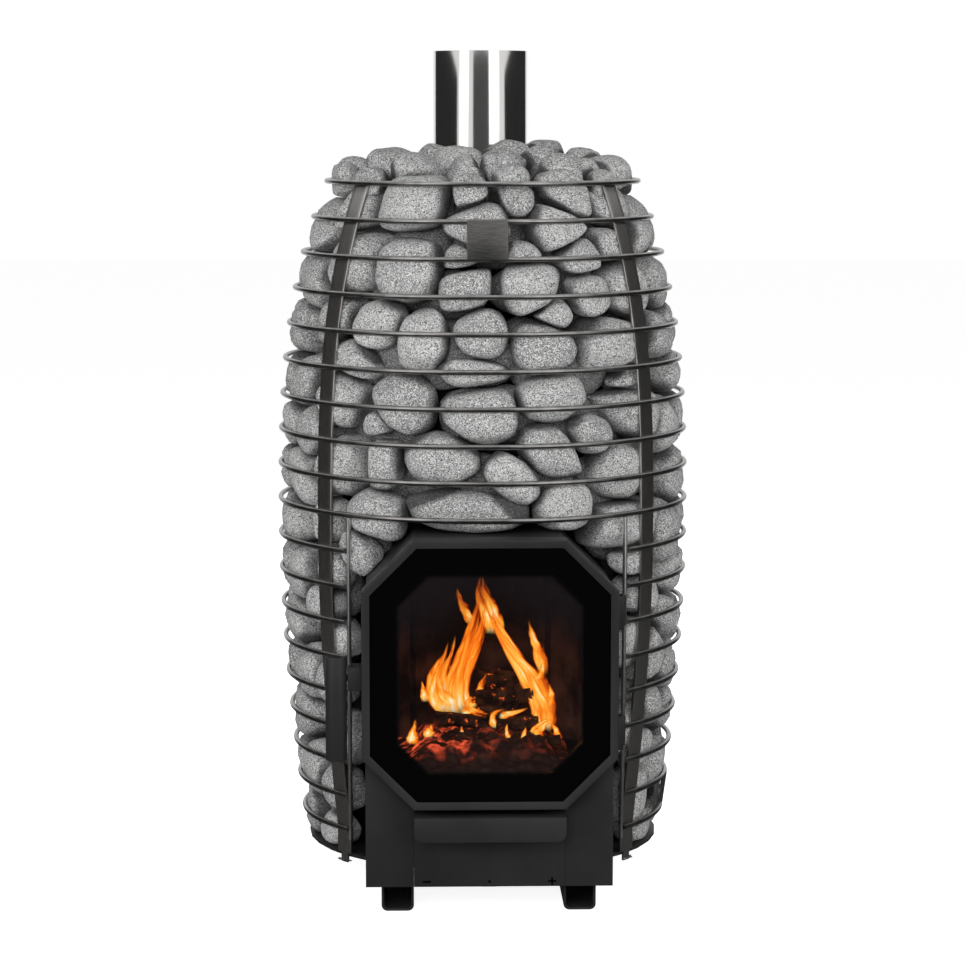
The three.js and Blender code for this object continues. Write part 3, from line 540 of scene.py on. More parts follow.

# Doorway rods: two thinner rods that edge the opening for the door. They follow the barrel down
# from the last full ring and carry the cut ends of the rings. Their steel is a paler copy of the
# stainless finish: painted light for the bright reflections along them.
rail_radius = (rod_high.x - rod_low.x) / 2
rail_offset = (rod_high.x + rod_low.x) / 2
rail_steps = 32
# Painted light: a much paler copy of the stainless finish than the ring rods carry.
rail_steel_painted_light = brushed_flat("stainless_edge_rod_painted_light", (0.64, 0.625, 0.61), (0.78, 0.765, 0.75), (12, 12, 0.6))
for place, side in [("left", -1), ("right", 1)]:
    path = []
    for step in range(rail_steps + 1):
        height = rod_low.z + (rod_high.z - rod_low.z) * step / rail_steps
        depth = math.sqrt(cage_radius(height) ** 2 - rail_offset ** 2)
        path.append(Vector((side * rail_offset, axis_y - depth, height)))
    rail = bent_wire(path, rail_radius)
    replaced = "doorway_rod_" + place
    finish_piece(rail, "doorway_rail_" + place, rail_steel_painted_light, "stove", "stainless_steel", replaced)

# Badge plate: a small square of brushed stainless with broken edges, welded across the second and
# third rings. It is left bare.
badge_low, badge_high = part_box("badge_plate")
badge_size = badge_high.x - badge_low.x
badge_thickness = 0.003
badge_edge = 0.0009
badge_lean = math.atan2(ring_radii[2] - ring_radii[1], ring_heights[1] - ring_heights[2])
badge = added(bpy.ops.mesh.primitive_cube_add, size=1)
badge.data.transform(Matrix.Diagonal((badge_size, badge_thickness, badge_size, 1)))
modified(badge, "BEVEL", width=badge_edge, segments=3)
badge.data.transform(Matrix.Rotation(-badge_lean, 4, "X"))
badge.data.transform(Matrix.Translation((badge_low + badge_high) / 2))
badge_steel = brushed_flat("stainless_badge", (0.09, 0.088, 0.086), (0.13, 0.127, 0.124), (0.8, 8, 8))
finish_piece(badge, "badge", badge_steel, "stove", "stainless_steel", "badge_plate")


# Flue pipe: rolled stainless tube with a bright, lengthwise polish. It is slipped over the spigot
# on the firebox lid and comes up through the stones.
def polished_tube():
    material, tree, place = new_material("stainless_flue")
    drawn = tree.make("Mapping", {}, {"Vector": place, "Scale": (14, 14, 0.4)})
    brush = grain(tree, drawn, 90.0, 3.0)
    return surfaced(material, tree, {
        "Base Color": brush.mixed(rgb(0.58, 0.57, 0.56), rgb(0.72, 0.71, 0.70)),
        "Metallic": 1.0,
        "Roughness": 0.08 + 0.05 * brush,
    })


pipe_low, pipe_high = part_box("flue_pipe")
pipe_middle = (pipe_low + pipe_high) / 2
pipe_wall = 0.0012
pipe_rim = 0.0003
flue = added(
    bpy.ops.mesh.primitive_cylinder_add,
    vertices=128,
    radius=(pipe_high.x - pipe_low.x) / 2,
    depth=pipe_high.z - pipe_low.z,
    location=pipe_middle,
    end_fill_type="NOTHING",
)
modified(flue, "SOLIDIFY", thickness=pipe_wall, offset=-1)
modified(flue, "BEVEL", width=pipe_rim, segments=2)
finish_piece(flue, "flue_tube", polished_tube(), "stove", "stainless_steel", "flue_pipe")


# Sauna stones: river-rounded grey granite, packed by hand between the bars and the firebox and
# heaped on top. Each is its own pebble, pressed flat a little where it meets its neighbours, and
# darkened there with painted shade in the crevices between them.
def granite():
    material, tree, place = new_material("grey_granite")
    tone = tree.make("Attribute", {"attribute_name": "tone"}, {}, output="Fac")
    cloud = grain(tree, place, 42.0, 3.0)
    smut = grain(tree, place, 520.0, 4.0, 0.7)
    crystals = tree.make("TexVoronoi", {}, {"Vector": place, "Scale": 1020.0}, output="Color")
    mineral = tree.make("SeparateColor", {}, {"Color": crystals}, output="Red")
    body = (0.6 * tone + 0.4 * cloud).step(0.1, 0.9)
    colour = body.mixed(rgb(0.24, 0.24, 0.238), rgb(0.37, 0.37, 0.366))
    colour = mineral.step(0.70, 0.80).mixed(colour, rgb(0.58, 0.58, 0.572))
    mica = (mineral + 0.3 * smut).step(0.29, 0.42)
    colour = mica.mixed(rgb(0.085, 0.085, 0.086), colour)
    # Painted shade: a stone goes dark where neighbours press close on it, and hidden stones go dark all
    # over.
    nook = tree.make("Attribute", {"attribute_name": "nook"}, {}, output="Fac")
    colour = (0.85 * nook.step(0.74, 1.0)).mixed(colour, rgb(0.02, 0.02, 0.02))
    pits = mineral + 0.8 * smut
    return surfaced(material, tree, {
        "Base Color": colour,
        "Roughness": 0.85,
        "Specular IOR Level": 0.3,
        "Normal": bumped(tree, pits, 0.3, 0.0009),
    })


stone_finish = granite()
chance = 7


def next_chance():
    global chance
    chance = chance * 16807 % 2147483647
    return chance / 2147483647 - 0.5


def pebble_ball(subdivisions):
    ball = added(bpy.ops.mesh.primitive_ico_sphere_add, subdivisions=subdivisions, radius=1)
    shape = np.empty(len(ball.data.vertices) * 3)
    ball.data.vertices.foreach_get("co", shape)
    return ball, shape.reshape(-1, 3)


flat_faced = np.array((0.86, 0.86, 0.72))
round_faced = np.array((0.95, 0.95, 0.92))
flat_sides = 5
flat_start = 0.78
flat_depth = 0.65


def tumbled(shape, number, fullness=flat_faced):
    """A unit ball worn into a pebble: lumpy, with a few flat sides and a full, flattish face."""
    offset = Vector((7.31, 3.17, 1.93)) * number
    lumps = []
    for point in shape:
        broad = noise.noise(Vector(point) * 1.1 + offset)
        small = noise.noise(Vector(point) * 2.7 - offset)
        lumps.append(1 + 0.15 * broad + 0.05 * small)
    worn = shape * np.array(lumps)[:, None]
    for side in range(flat_sides):
        way = np.array(Vector((next_chance(), next_chance(), next_chance())).normalized())
        beyond = np.maximum(worn @ way - flat_start, 0)
        worn = worn - flat_depth * beyond[:, None] * way
    worn = worn / np.abs(worn).max(axis=0)
    return np.sign(worn) * np.abs(worn) ** fullness


def half_axes(stone):
    return np.array((stone["wide"] / 2, stone["tall"] / 2, stone["deep"]))


def tilted(points, stone):
    turn = math.radians(stone["tilt"])
    across = points[:, 0] * math.cos(turn) - points[:, 1] * math.sin(turn)
    up = points[:, 0] * math.sin(turn) + points[:, 1] * math.cos(turn)
    return np.column_stack((across, up, points[:, 2]))


# Painted shade in the crevices: a neighbour still darkens a stone when it is this many mm short of
# touching.
nook_shade_reach = 8
# How dark the hidden packing and core stones are painted all over: painted shade.
deep_nook_shade = 0.9


def leaned_on(pebble, nook, way, apart, reaches, gap, give, soot_and_shade=1):
    """A pebble's points, and how much painted crevice shade each takes, once a neighbour has pressed on
    them.
    """
    mine, theirs = reaches
    if mine + theirs + nook_shade_reach < apart:
        return pebble, nook
    towards = pebble @ way
    # Painted shade: points turned towards the neighbour are darkened, scaled by the last argument.
    nook = np.maximum(nook, soot_and_shade * towards / mine)
    if mine + theirs < apart:
        return pebble, nook
    limit = apart * mine / (mine + theirs) - gap / 2
    soft = give * limit
    squeeze = (mine - limit) / (mine - soft)
    return pebble - np.outer(squeeze * np.maximum(towards - soft, 0), way), nook


def pebble_mesh(ball, points, tone, nook):
    piece = bpy.data.objects.new("pebble", ball.data.copy())
    scene.collection.objects.link(piece)
    piece.data.vertices.foreach_set("co", (points / 1000).ravel())
    tones = piece.data.attributes.new("tone", "FLOAT", "POINT")
    tones.data.foreach_set("value", np.full(len(piece.data.vertices), tone))
    nook_shades = piece.data.attributes.new("nook", "FLOAT", "POINT")
    nook_shades.data.foreach_set("value", np.zeros(len(piece.data.vertices)) + nook)
    return piece


def bed_of(pieces, name, replaced):
    pick(*pieces)
    bpy.ops.object.join()
    bpy.ops.object.shade_smooth()
    return finish_piece(pieces[0], name, stone_finish, "stove", "sauna_stone", replaced)


fine_pebble = pebble_ball(4)
plain_pebble = pebble_ball(3)
rough_ball, rough_shape = pebble_ball(2)

# Wall of stones. Azimuth and height are laid out on a flat sheet, in mm at the stones' middles, so
# that neighbours can press on each other. Each stone leans on the rods and clears bars and door.
arc_per_degree = 3.65
circuit = 360 * arc_per_degree
axis_mm = 1000 * axis_y
course_tops = [222, 404, 588, 800]
wall_floor = 1000 * plate_high.z + 0.5
rod_face = 3.3
plate_gap = 0.7
bar_azimuths = sorted(math.degrees(azimuth) for place, azimuth in bar_places)
bar_half_angle = 3.1
bar_margin = 0.4
bar_ease = 3
room_over_lid = 90
depth_share = 0.21
shell_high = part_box("firebox_shell")[1]
shell_radius = 1000 * shell_high.x + plate_gap
shell_top = 1000 * shell_high.z + 6


def cage_mm(height):
    return 1000 * cage_radius(height / 1000)


def wall_stone(azimuth, height, wide, tall, tilt, back, seen=False):
    face = float(cage_mm(height)) - rod_face - back
    room = face - shell_radius if height < shell_top else room_over_lid
    deep = min(depth_share * (wide + tall), room / 2)
    half_angle = math.degrees(wide / 2 / (face - deep))
    for bar in bar_azimuths:
        lap = bar_half_angle + half_angle - abs(azimuth - bar)
        face -= 1000 * bar_thickness * min(1, max(0, lap / bar_ease))
    middle = face - deep
    if seen:
        azimuth = math.degrees(math.asin(math.sin(math.radians(azimuth)) * face / middle))
    wide = wide * arc_per_degree / math.radians(middle)
    return dict(
        u=azimuth * arc_per_degree, v=height, wide=wide, tall=tall, tilt=tilt, deep=deep, middle=middle
    )


ring_heights_mm = 1000 * np.array(ring_heights)
rod_reach = 5
bulge_reach = 15
bulge = 4.5


def behind_rods(radius, azimuth, height):
    """Stones swell out between the rings, and stay behind the rods and the bars."""
    from_ring = np.abs(height[:, None] - ring_heights_mm).min(axis=1)
    inside_rods = cage_mm(height) - rod_face
    limit = inside_rods + bulge * np.interp(from_ring, (rod_reach, bulge_reach), (0, 1))
    for bar in bar_azimuths:
        from_bar = np.abs((np.degrees(azimuth) - bar + 180) % 360 - 180)
        behind_bar = inside_rods - 1000 * (bar_thickness + clearance)
        limit = np.where(from_bar < bar_half_angle + bar_margin, behind_bar, limit)
    return np.minimum(radius, limit)


contact_gap = 1.4
firmness = 0.55
press_range = 150


def sheet_gap(stone, other):
    """How far apart two stones are on the sheet, the way from one to the other, and their reaches."""
    du = (other["u"] - stone["u"] + circuit / 2) % circuit - circuit / 2
    dv = other["v"] - stone["v"]
    apart = math.hypot(du, dv)
    if apart == 0:
        return 0, None, (0, 0)
    way = np.array((du, dv, 0)) / apart
    reaches = []
    for one in (stone, other):
        turn = math.radians(one["tilt"])
        across = (way[0] * math.cos(turn) + way[1] * math.sin(turn)) / (one["wide"] / 2)
        upward = (way[1] * math.cos(turn) - way[0] * math.sin(turn)) / (one["tall"] / 2)
        reaches.append(1 / math.hypot(across, upward))
    return apart, way, reaches


def pressed_pebble(stone, others, shape, number):
    """Points of one pebble as (across, up, out) in mm from its middle, pressed by its neighbours."""
    pebble = tilted(tumbled(shape, number) * half_axes(stone), stone)
    nook = np.zeros(len(pebble))
    for other in others:
        apart, way, reaches = sheet_gap(stone, other)
        if 0 < apart < press_range:
            pebble, nook = leaned_on(pebble, nook, way, apart, reaches, contact_gap, firmness)
    return pebble, nook


# The stones in front are [azimuth, height, width, height across], in degrees and mm, and where one
# doesn't lie level at the rods, its tilt and how far back it is set.
front_stones = [
    [-45, 792, 66, 60], [-24, 800, 88, 66], [-6, 815, 40, 42, 0, 6], [11, 806, 50, 36, 0, 12],
    [43, 796, 80, 52], [27, 812, 74, 58], [-3, 779, 86, 64], [22, 776, 82, 60], [41, 756, 62, 40],
    [12, 748, 44, 26, 0, 12], [-8, 742, 40, 32, 0, 12], [28, 742, 68, 43], [-41, 735, 82, 79],
    [-23, 729, 80, 80], [12, 708, 79, 65], [-6, 708, 69, 58], [44, 702, 71, 68], [30, 699, 57, 51],
    [20, 677, 54, 38, 0, 12], [-46, 668, 69, 56, 20, 0], [-31, 664, 68, 58, 20, 0],
    [-2, 655, 64, 67, 30, 0], [-18, 648, 59, 74], [15, 643, 83, 63, 10, 0], [36, 640, 107, 66],
    [-39, 625, 83, 43, -10, 0], [-4, 613, 82, 40, 0, 10], [45, 600, 64, 36, 0, 8],
    [17, 582, 85, 55], [-42, 576, 77, 71], [-23, 573, 81, 72], [42, 566, 112, 68, -35, 0],
    [-2, 563, 92, 71], [-32, 551, 38, 32, 0, 12], [28, 540, 58, 46], [17, 522, 88, 58, -25, 0],
    [-11, 515, 92, 59], [-28, 510, 38, 75], [-42, 498, 78, 88], [39, 494, 90, 77],
    [6, 493, 82, 47, -35, 0], [20, 461, 72, 58], [-5, 456, 133, 47, -3, 0], [-30, 448, 70, 65],
    [-47, 435, 42, 64], [39, 429, 117, 63], [-36, 404, 43, 56, 25, 0], [44, 388, 60, 34],
    [-46, 381, 52, 50], [46, 342, 58, 62], [-50, 332, 54, 50], [-45, 294, 56, 42],
    [51, 272, 60, 78], [-48, 240, 58, 56], [53, 205, 60, 54], [-45, 175, 56, 66], [50, 160, 56, 50],
    [-49, 111, 58, 62], [50, 95, 50, 80], [-53, 60, 54, 40], [55, 58, 54, 40],
]
front_width = 1.03
front_height = 1.06
wall = []
for azimuth, height, wide, tall, *lie in front_stones:
    tilt, back = lie or (0, 0)
    wide = front_width * wide
    tall = front_height * tall
    placed = wall_stone(azimuth, height, wide, tall, tilt, back, seen=True)
    wall.append((placed, back == 0))
side_start = 57
side_pitch = 68
side_rows = 13
side_wide = 80
side_tall = 68
side_spread = 0.4
side_shift = 3.5
side_lift = 14
side_tilt = 70
crowding = 0.62
stones_in_row = round((360 - 2 * side_start) * arc_per_degree / side_pitch)
row_rise = (course_tops[-1] - wall_floor) / side_rows
for row in range(side_rows):
    for count in range(stones_in_row + 1):
        share = (count + 0.5 * (row % 2) - 0.25) / stones_in_row
        azimuth = side_start + (360 - 2 * side_start) * share + side_shift * next_chance()
        height = wall_floor + (row + 0.5) * row_rise + side_lift * next_chance()
        wide = side_wide * (1 + side_spread * next_chance())
        tall = side_tall * (1 + side_spread * next_chance())
        azimuth = (azimuth + 180) % 360 - 180
        placed = wall_stone(azimuth, height, wide, tall, side_tilt * next_chance(), 0)
        crowded = False
        for other, fine in wall:
            apart, way, reaches = sheet_gap(placed, other)
            if apart < crowding * sum(reaches):
                crowded = True
        if not crowded:
            wall.append((placed, False))

collar_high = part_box("front_collar")[1]
panel_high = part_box("front_panel")[1]
door_side = 1000 * panel_high.x + plate_gap
door_top = 1000 * collar_high.z + plate_gap
collar_leg = 55.4
diagonal = math.sqrt(0.5)
door_corner = diagonal * (1000 * collar_high.x + door_top - collar_leg + 0.5)
door_edges = [
    (1, 0, door_side), (-1, 0, door_side), (0, 1, door_top),
    (diagonal, diagonal, door_corner), (-diagonal, diagonal, door_corner),
]
wall_stones = [stone for stone, fine in wall]
courses = [[] for top in course_tops]
for number, (stone, fine) in enumerate(wall):
    ball, shape = fine_pebble if fine else plain_pebble
    pebble, nook = pressed_pebble(stone, wall_stones, shape, number)
    across, up, out = pebble.T
    height = np.maximum(stone["v"] + up, wall_floor)
    radius = stone["middle"] + out + cage_mm(height) - cage_mm(stone["v"])
    radius = np.where(height < shell_top, np.maximum(radius, shell_radius), radius)
    azimuth = np.radians((stone["u"] + across) / arc_per_degree)
    radius = behind_rods(radius + bulge, azimuth, height)
    x = radius * np.sin(azimuth)
    y = -radius * np.cos(azimuth)
    turn = math.radians(stone["u"] / arc_per_degree)
    if math.cos(turn) > 0:
        middle_x = stone["middle"] * math.sin(turn)
        side = max(door_edges, key=lambda edge: edge[0] * middle_x + edge[1] * stone["v"] - edge[2])
        inside = np.maximum(side[2] - side[0] * x - side[1] * height, 0)
        x = x + side[0] * inside
        height = height + side[1] * inside
    points = np.column_stack((x, axis_mm + y, height))
    course = sum(stone["v"] >= top for top in course_tops[:-1])
    courses[course].append(pebble_mesh(ball, points, 0.5 + next_chance(), nook))

# Smaller stones behind them close the gaps against the firebox. They are painted dark all over, painted
# shade for the gaps they fill.
packing_rows = 9
packing_angle = 20
packing_low = 76
packing_rise = 68
packing_inset = 64
packing_half = np.array((40, 36, 18))
hidden_stone_shade = 0.4
packing_clear = 20
packing_lumps = len(wall) - 1
shell_side = shell_radius + packing_half[2] + 1
for row in range(packing_rows):
    for count in range(round(360 / packing_angle)):
        azimuth = packing_angle * (count + 0.5 * (row % 2) + 0.5 * next_chance()) - 180
        height = packing_low + packing_rise * (row + 0.3 * next_chance())
        turn = math.radians(azimuth)
        radius = max(shell_side, float(cage_mm(height)) - packing_inset)
        x = radius * math.sin(turn)
        clear = max(edge[0] * x + edge[1] * height - edge[2] for edge in door_edges)
        tone = 0.5 + next_chance()
        if math.cos(turn) > 0 and clear < packing_clear:
            continue
        worn = tumbled(rough_shape, packing_lumps + count + 30 * row) * packing_half
        around = turn + worn[:, 0] / radius
        out = radius + worn[:, 2]
        x = out * np.sin(around)
        y = axis_mm - out * np.cos(around)
        points = np.column_stack((x, y, height + worn[:, 1]))
        course = sum(height >= top for top in course_tops[:-1])
        courses[course].append(pebble_mesh(rough_ball, points, hidden_stone_shade * tone, deep_nook_shade))
for number, pebbles in enumerate(courses, 1):
    bed_of(pebbles, "pebbles_course_%d" % number, "stones_course_%d" % number)

# Heap on top, kept inside the first ring and clear of the flue, over a core of stones that fills
# the cage above the firebox.
flue_back = 1000 * (pipe_middle.y - axis_y)
flue_clear = 1000 * (pipe_high.x - pipe_low.x) / 2 + 1
ring_clear = 1000 * ring_radii[0] - rod_face - 1
# The stones on top are [right, back, height, width, depth, height across], in mm from the axis.
crown_stones = [
    [-160, -40, 828, 54, 50, 44], [-130, -112, 825, 60, 50, 36], [-112, -42, 837, 84, 66, 60],
    [-84, -112, 835, 70, 62, 52], [-60, 26, 850, 48, 46, 38], [-29, -32, 845, 66, 58, 44],
    [-23, -90, 830, 46, 44, 56], [-19, -150, 814, 46, 44, 60], [30, -5, 852, 66, 58, 48],
    [20, -90, 841, 62, 54, 46], [30, -147, 822, 70, 52, 54], [76, 35, 853, 66, 56, 44],
    [67, -55, 844, 56, 52, 50], [87, -122, 824, 72, 60, 72], [118, 22, 847, 54, 50, 36],
    [146, -26, 834, 62, 56, 44], [116, -70, 836, 44, 42, 34], [134, -106, 821, 52, 46, 40],
    [160, 30, 826, 52, 54, 46], [-150, 20, 832, 58, 58, 46], [-105, 28, 842, 52, 60, 44],
    [-135, 85, 828, 60, 60, 46], [-95, 140, 826, 62, 50, 44], [-38, 168, 824, 54, 28, 40],
    [32, 168, 824, 54, 28, 40], [92, 140, 826, 62, 50, 44], [138, 82, 828, 58, 60, 46],
    [-3, 170, 792, 58, 30, 50], [95, 86, 824, 56, 62, 46], [-93, 92, 824, 54, 60, 46],
]
heap_fit = 0.96
heap_tilt = 50
heap = []
for right, back, height, wide, deep, tall in crown_stones:
    tilt = heap_tilt * next_chance()
    heap.append(dict(
        u=right, v=back, wide=heap_fit * wide, tall=heap_fit * deep, tilt=tilt, deep=tall / 2, z=height
    ))
# The core lies in arcs in front of the flue: [height, radius, number of stones].
core_rows = [[645, 146, 10], [700, 140, 10], [750, 130, 9], [764, 96, 7]]
core_sweep = 270
core = []
for height, radius, count in core_rows:
    for place in range(count):
        share = (place + 0.3 * next_chance()) / (count - 1)
        turn = math.radians(core_sweep * share - core_sweep / 2)
        core.append(dict(
            u=radius * math.sin(turn), v=-radius * math.cos(turn), wide=86, tall=80,
            tilt=90 * next_chance(), deep=31, z=height + 12 * next_chance(),
        ))
core.append(dict(u=0, v=-20, wide=96, tall=80, tilt=0, deep=30, z=768))
core.append(dict(u=62, v=-15, wide=84, tall=74, tilt=0, deep=30, z=795))

heap_gap = 1
heap_firmness = 0.12
# How strongly heaped stones take painted shade where their neighbours press on them.
heap_nook_shade = 1.2
heap_floor = 765
heap_lumps = 500


def middle_of(stone):
    return np.array((stone["u"], stone["v"], stone["z"]))


def settled(pebble, stone, others):
    """A heaped pebble's points about its middle, pressed in by the stones round it."""
    nook = np.zeros(len(pebble))
    for place, axes in others:
        way = place - middle_of(stone)
        apart = np.linalg.norm(way)
        if apart >= 1:
            way = way / apart
            reaches = [1 / np.linalg.norm(way / size) for size in (half_axes(stone), axes)]
            press = (way, apart, reaches, heap_gap, heap_firmness, heap_nook_shade)
            pebble, nook = leaned_on(pebble, nook, *press)
    return pebble, nook


near_heap = [(middle_of(stone), half_axes(stone)) for stone in heap]
for stone in wall_stones:
    if stone["v"] > heap_floor:
        turn = math.radians(stone["u"] / arc_per_degree)
        size = (stone["wide"] + stone["tall"]) / 4
        place = (stone["middle"] * math.sin(turn), -stone["middle"] * math.cos(turn), stone["v"])
        near_heap.append((np.array(place), np.array((size, size, stone["tall"] / 2))))
crown_pebbles = []
for number, stone in enumerate(heap + core):
    heaped = number < len(heap)
    ball, shape = fine_pebble if heaped else plain_pebble
    pebble = tilted(tumbled(shape, number + heap_lumps, round_faced) * half_axes(stone), stone)
    pebble, nook = settled(pebble, stone, near_heap if heaped else [])
    x = stone["u"] + pebble[:, 0]
    y = stone["v"] + pebble[:, 1]
    from_flue = np.maximum(np.hypot(x, y - flue_back), 1)
    push = np.maximum(flue_clear / from_flue, 1)
    x = push * x
    y = flue_back + push * (y - flue_back)
    pull = np.minimum(ring_clear / np.maximum(np.hypot(x, y), 1), 1)
    points = np.column_stack((pull * x, axis_mm + pull * y, stone["z"] + pebble[:, 2]))
    tone = 0.5 + next_chance()
    # Core stones are painted dark all over as well: painted shade under the heap.
    if not heaped:
        tone = hidden_stone_shade * tone
        nook = deep_nook_shade
    crown_pebbles.append(pebble_mesh(ball, points, tone, nook))
bed_of(crown_pebbles, "pebbles_crown", "stones_crown")
for ball in (fine_pebble[0], plain_pebble[0], rough_ball):
    bpy.data.objects.remove(ball)

# Air marks: a dash, a dot and a plus painted in black along the bottom of the drawer front, which
# show where the air slide is shut, half open and open.
drawer_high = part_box("drawer_front")[1]
mark_black, mark_tree, mark_place = new_material("air_mark_black")
mark_grain = grain(mark_tree, mark_place, 600.0)
surfaced(mark_black, mark_tree, {
    "Base Color": rgb(0.0005, 0.0005, 0.0005),
    "Roughness": 0.5 + 0.2 * mark_grain,
    "Specular IOR Level": 0.0,
})
drawer_sheet = 0.002
mark_face = drawer_high.y - drawer_sheet
mark_height = 0.041
mark_thickness = 0.0002
for name, x, strokes in [
    ("air_mark_shut", -0.071, [(0.009, 0.0019)]),
    ("air_mark_half", 0.0, [(0.0026, 0.0026)]),
    ("air_mark_open", 0.071, [(0.009, 0.0019), (0.0019, 0.009)]),
]:
    pieces = []
    for wide, tall in strokes:
        middle = (x, mark_face - mark_thickness / 2, mark_height)
        stroke = added(bpy.ops.mesh.primitive_cube_add, size=1, location=middle)
        stroke.scale = (wide, mark_thickness, tall)
        bpy.ops.object.transform_apply(location=True, rotation=True, scale=True)
        pieces.append(stroke)
    pick(*pieces)
    bpy.ops.object.join()
    finish_piece(pieces[0], name, mark_black, "ash_drawer", "black_steel")

# Fire: split logs on the grate, a bed of embers, and tongues of flame that thin out upwards.
# It is fuel, not a piece of the stove, and rides on the firebox behind the glass.
grate_low, grate_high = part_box("fire_grate")


def burning_wood():
    material, tree, place = new_material("burning_log")
    char = grain(tree, place, 60.0, 5.0, 0.6)
    crack = grain(tree, place, 110.0, 4.0, 0.7)
    glow = crack.step(0.60, 0.74)
    colour = char.step(0.35, 0.7).mixed(rgb(0.008, 0.005, 0.004), rgb(0.11, 0.05, 0.028))
    heat = glow.mixed(rgb(0, 0, 0), rgb(1.0, 0.14, 0.015))
    return surfaced(material, tree, {
        "Base Color": colour,
        "Roughness": 0.9,
        "Emission Color": heat,
        "Emission Strength": 1.6,
        "Normal": bumped(tree, char, 0.8, 0.004),
    })


# Each log is [left end, right end, radius], the ends as right, back and height, in mm.
log_ends = [
    [(-60, 26, 175), (6, 34, 166), 8.5], [(-6, 64, 192), (64, 56, 197), 10],
    [(-4, 96, 210), (58, 92, 204), 13], [(54, -8, 151), (93, -4, 152), 6.5],
    [(-36, -12, 162), (30, -4, 146), 4], [(16, 42, 164), (68, 48, 163), 10],
    [(-40, 80, 178), (44, 70, 176), 12],
]
log_finish = burning_wood()
bark_depth = 0.35
for number, (left_end, right_end, radius) in enumerate(log_ends):
    start = Vector(left_end) / 1000
    along = Vector(right_end) / 1000 - start
    sizes = {"vertices": 9, "radius": radius / 1000, "depth": along.length}
    log = added(bpy.ops.mesh.primitive_cylinder_add, **sizes)
    edit_all()
    bpy.ops.mesh.subdivide(number_cuts=5)
    bpy.ops.object.mode_set(mode="OBJECT")
    for vertex in log.data.vertices:
        rough = noise.noise(vertex.co * 70 + Vector((number * 5, 0, 0)))
        vertex.co.x *= 1 + bark_depth * rough
        vertex.co.y *= 1 + bark_depth * rough
    log.data.transform(along.to_track_quat("Z", "Y").to_matrix().to_4x4())
    log.data.transform(Matrix.Translation(start + along / 2))
    finish_piece(log, "log_%d" % (number + 1), log_finish, "stove", "cast_iron")


def ember_bed():
    material, tree, place = new_material("glowing_embers")
    lump = tree.make("TexVoronoi", {}, {"Vector": place, "Scale": 75.0}, output="Distance")
    depth = place.part("Y")
    sideways = place.part("X")
    hottest = depth.step(-0.07, -0.03) * (1 - 0.85 * sideways.step(-0.03, 0.02))
    heat = grain(tree, place, 48.0, 4.0, 0.6).step(0.46, 0.72) * hottest
    cinder = lump.step(0.2, 0.7)
    hot = heat.mixed(rgb(0.004, 0.001, 0.0005), rgb(0.9, 0.10, 0.035))
    return surfaced(material, tree, {
        "Base Color": cinder.mixed(rgb(0.05, 0.033, 0.028), rgb(0.022, 0.015, 0.013)),
        "Roughness": 0.95,
        "Emission Color": hot,
        "Emission Strength": 1.7,
    })


bed_front = -0.112
bed_back = 0.122
bed_half = 0.104
hearth_reach = 0.150
hearth_top = grate_low.z + 0.0004
ember_rise = 0.013
bed_crust = 0.0008
grate_slope = 0.02
bed = added(bpy.ops.mesh.primitive_grid_add, x_subdivisions=80, y_subdivisions=90, size=1)
for vertex in bed.data.vertices:
    side = 2 * vertex.co.x
    end = 2 * vertex.co.y
    y = (bed_back + bed_front) / 2 + end * (bed_back - bed_front) / 2
    x = side * min(bed_half, math.sqrt(hearth_reach ** 2 - (y - axis_y) ** 2))
    from_grate = max(grate_low.y - y, y - grate_high.y, abs(x) - grate_high.x, 0.0)
    on_grate = max(0.0, 1 - from_grate / grate_slope)
    base = hearth_top + on_grate * (grate_high.z - grate_low.z + 0.0006)
    mound = ember_rise * (1 - max(abs(side), abs(end)) ** 4)
    coarse = noise.noise(Vector((x, y, 0)) * 50)
    fine = noise.noise(Vector((x, y, 1)) * 140)
    vertex.co = Vector((x, y, base + mound * (1 + 0.8 * coarse + 0.3 * fine)))
modified(bed, "SOLIDIFY", thickness=bed_crust, offset=-1)
finish_piece(bed, "ember_bed", ember_bed(), "stove", "cast_iron")


def flame_light():
    material, tree, place = new_material("flame")
    uv = tree.make("TexCoord", {}, {}, output="UV")
    u = uv.part("X")
    along = uv.part("Y")
    sideways = place.part("X")
    across = u.math("ABSOLUTE", u * 2.0 - 1.0)
    drawn = tree.make("CombineXYZ", {}, {"X": u * 1.8, "Y": along * 2.2, "Z": sideways * 14.0})
    streak = grain(tree, drawn, 1.0, 3.0, 0.55).step(0.28, 0.72)
    middle = 1 - across ** 2.0
    heat = middle * (0.9 - 0.55 * along) + 0.7 * (streak - 0.5)
    ramp = [
        (0.0, (0.35, 0.015, 0.0)),
        (0.22, (0.9, 0.11, 0.004)),
        (0.45, (1.0, 0.27, 0.014)),
        (0.75, (1.0, 0.52, 0.08)),
        (1.0, (1.0, 0.92, 0.6)),
    ]
    colour = tree.make("ValToRGB", {"stops": ramp}, {"Fac": heat})
    tip = 1 - along.step(0.72, 1.0)
    fade = heat.step(0.05, 0.5) * middle.step(0.0, 0.6) * tip * along.step(0.0, 0.2)
    return surfaced(material, tree, {
        "Base Color": rgb(0, 0, 0),
        "Roughness": 1.0,
        "Specular IOR Level": 0.0,
        "Emission Color": colour,
        "Emission Strength": 1.3,
        "Alpha": fade * 0.85,
    })


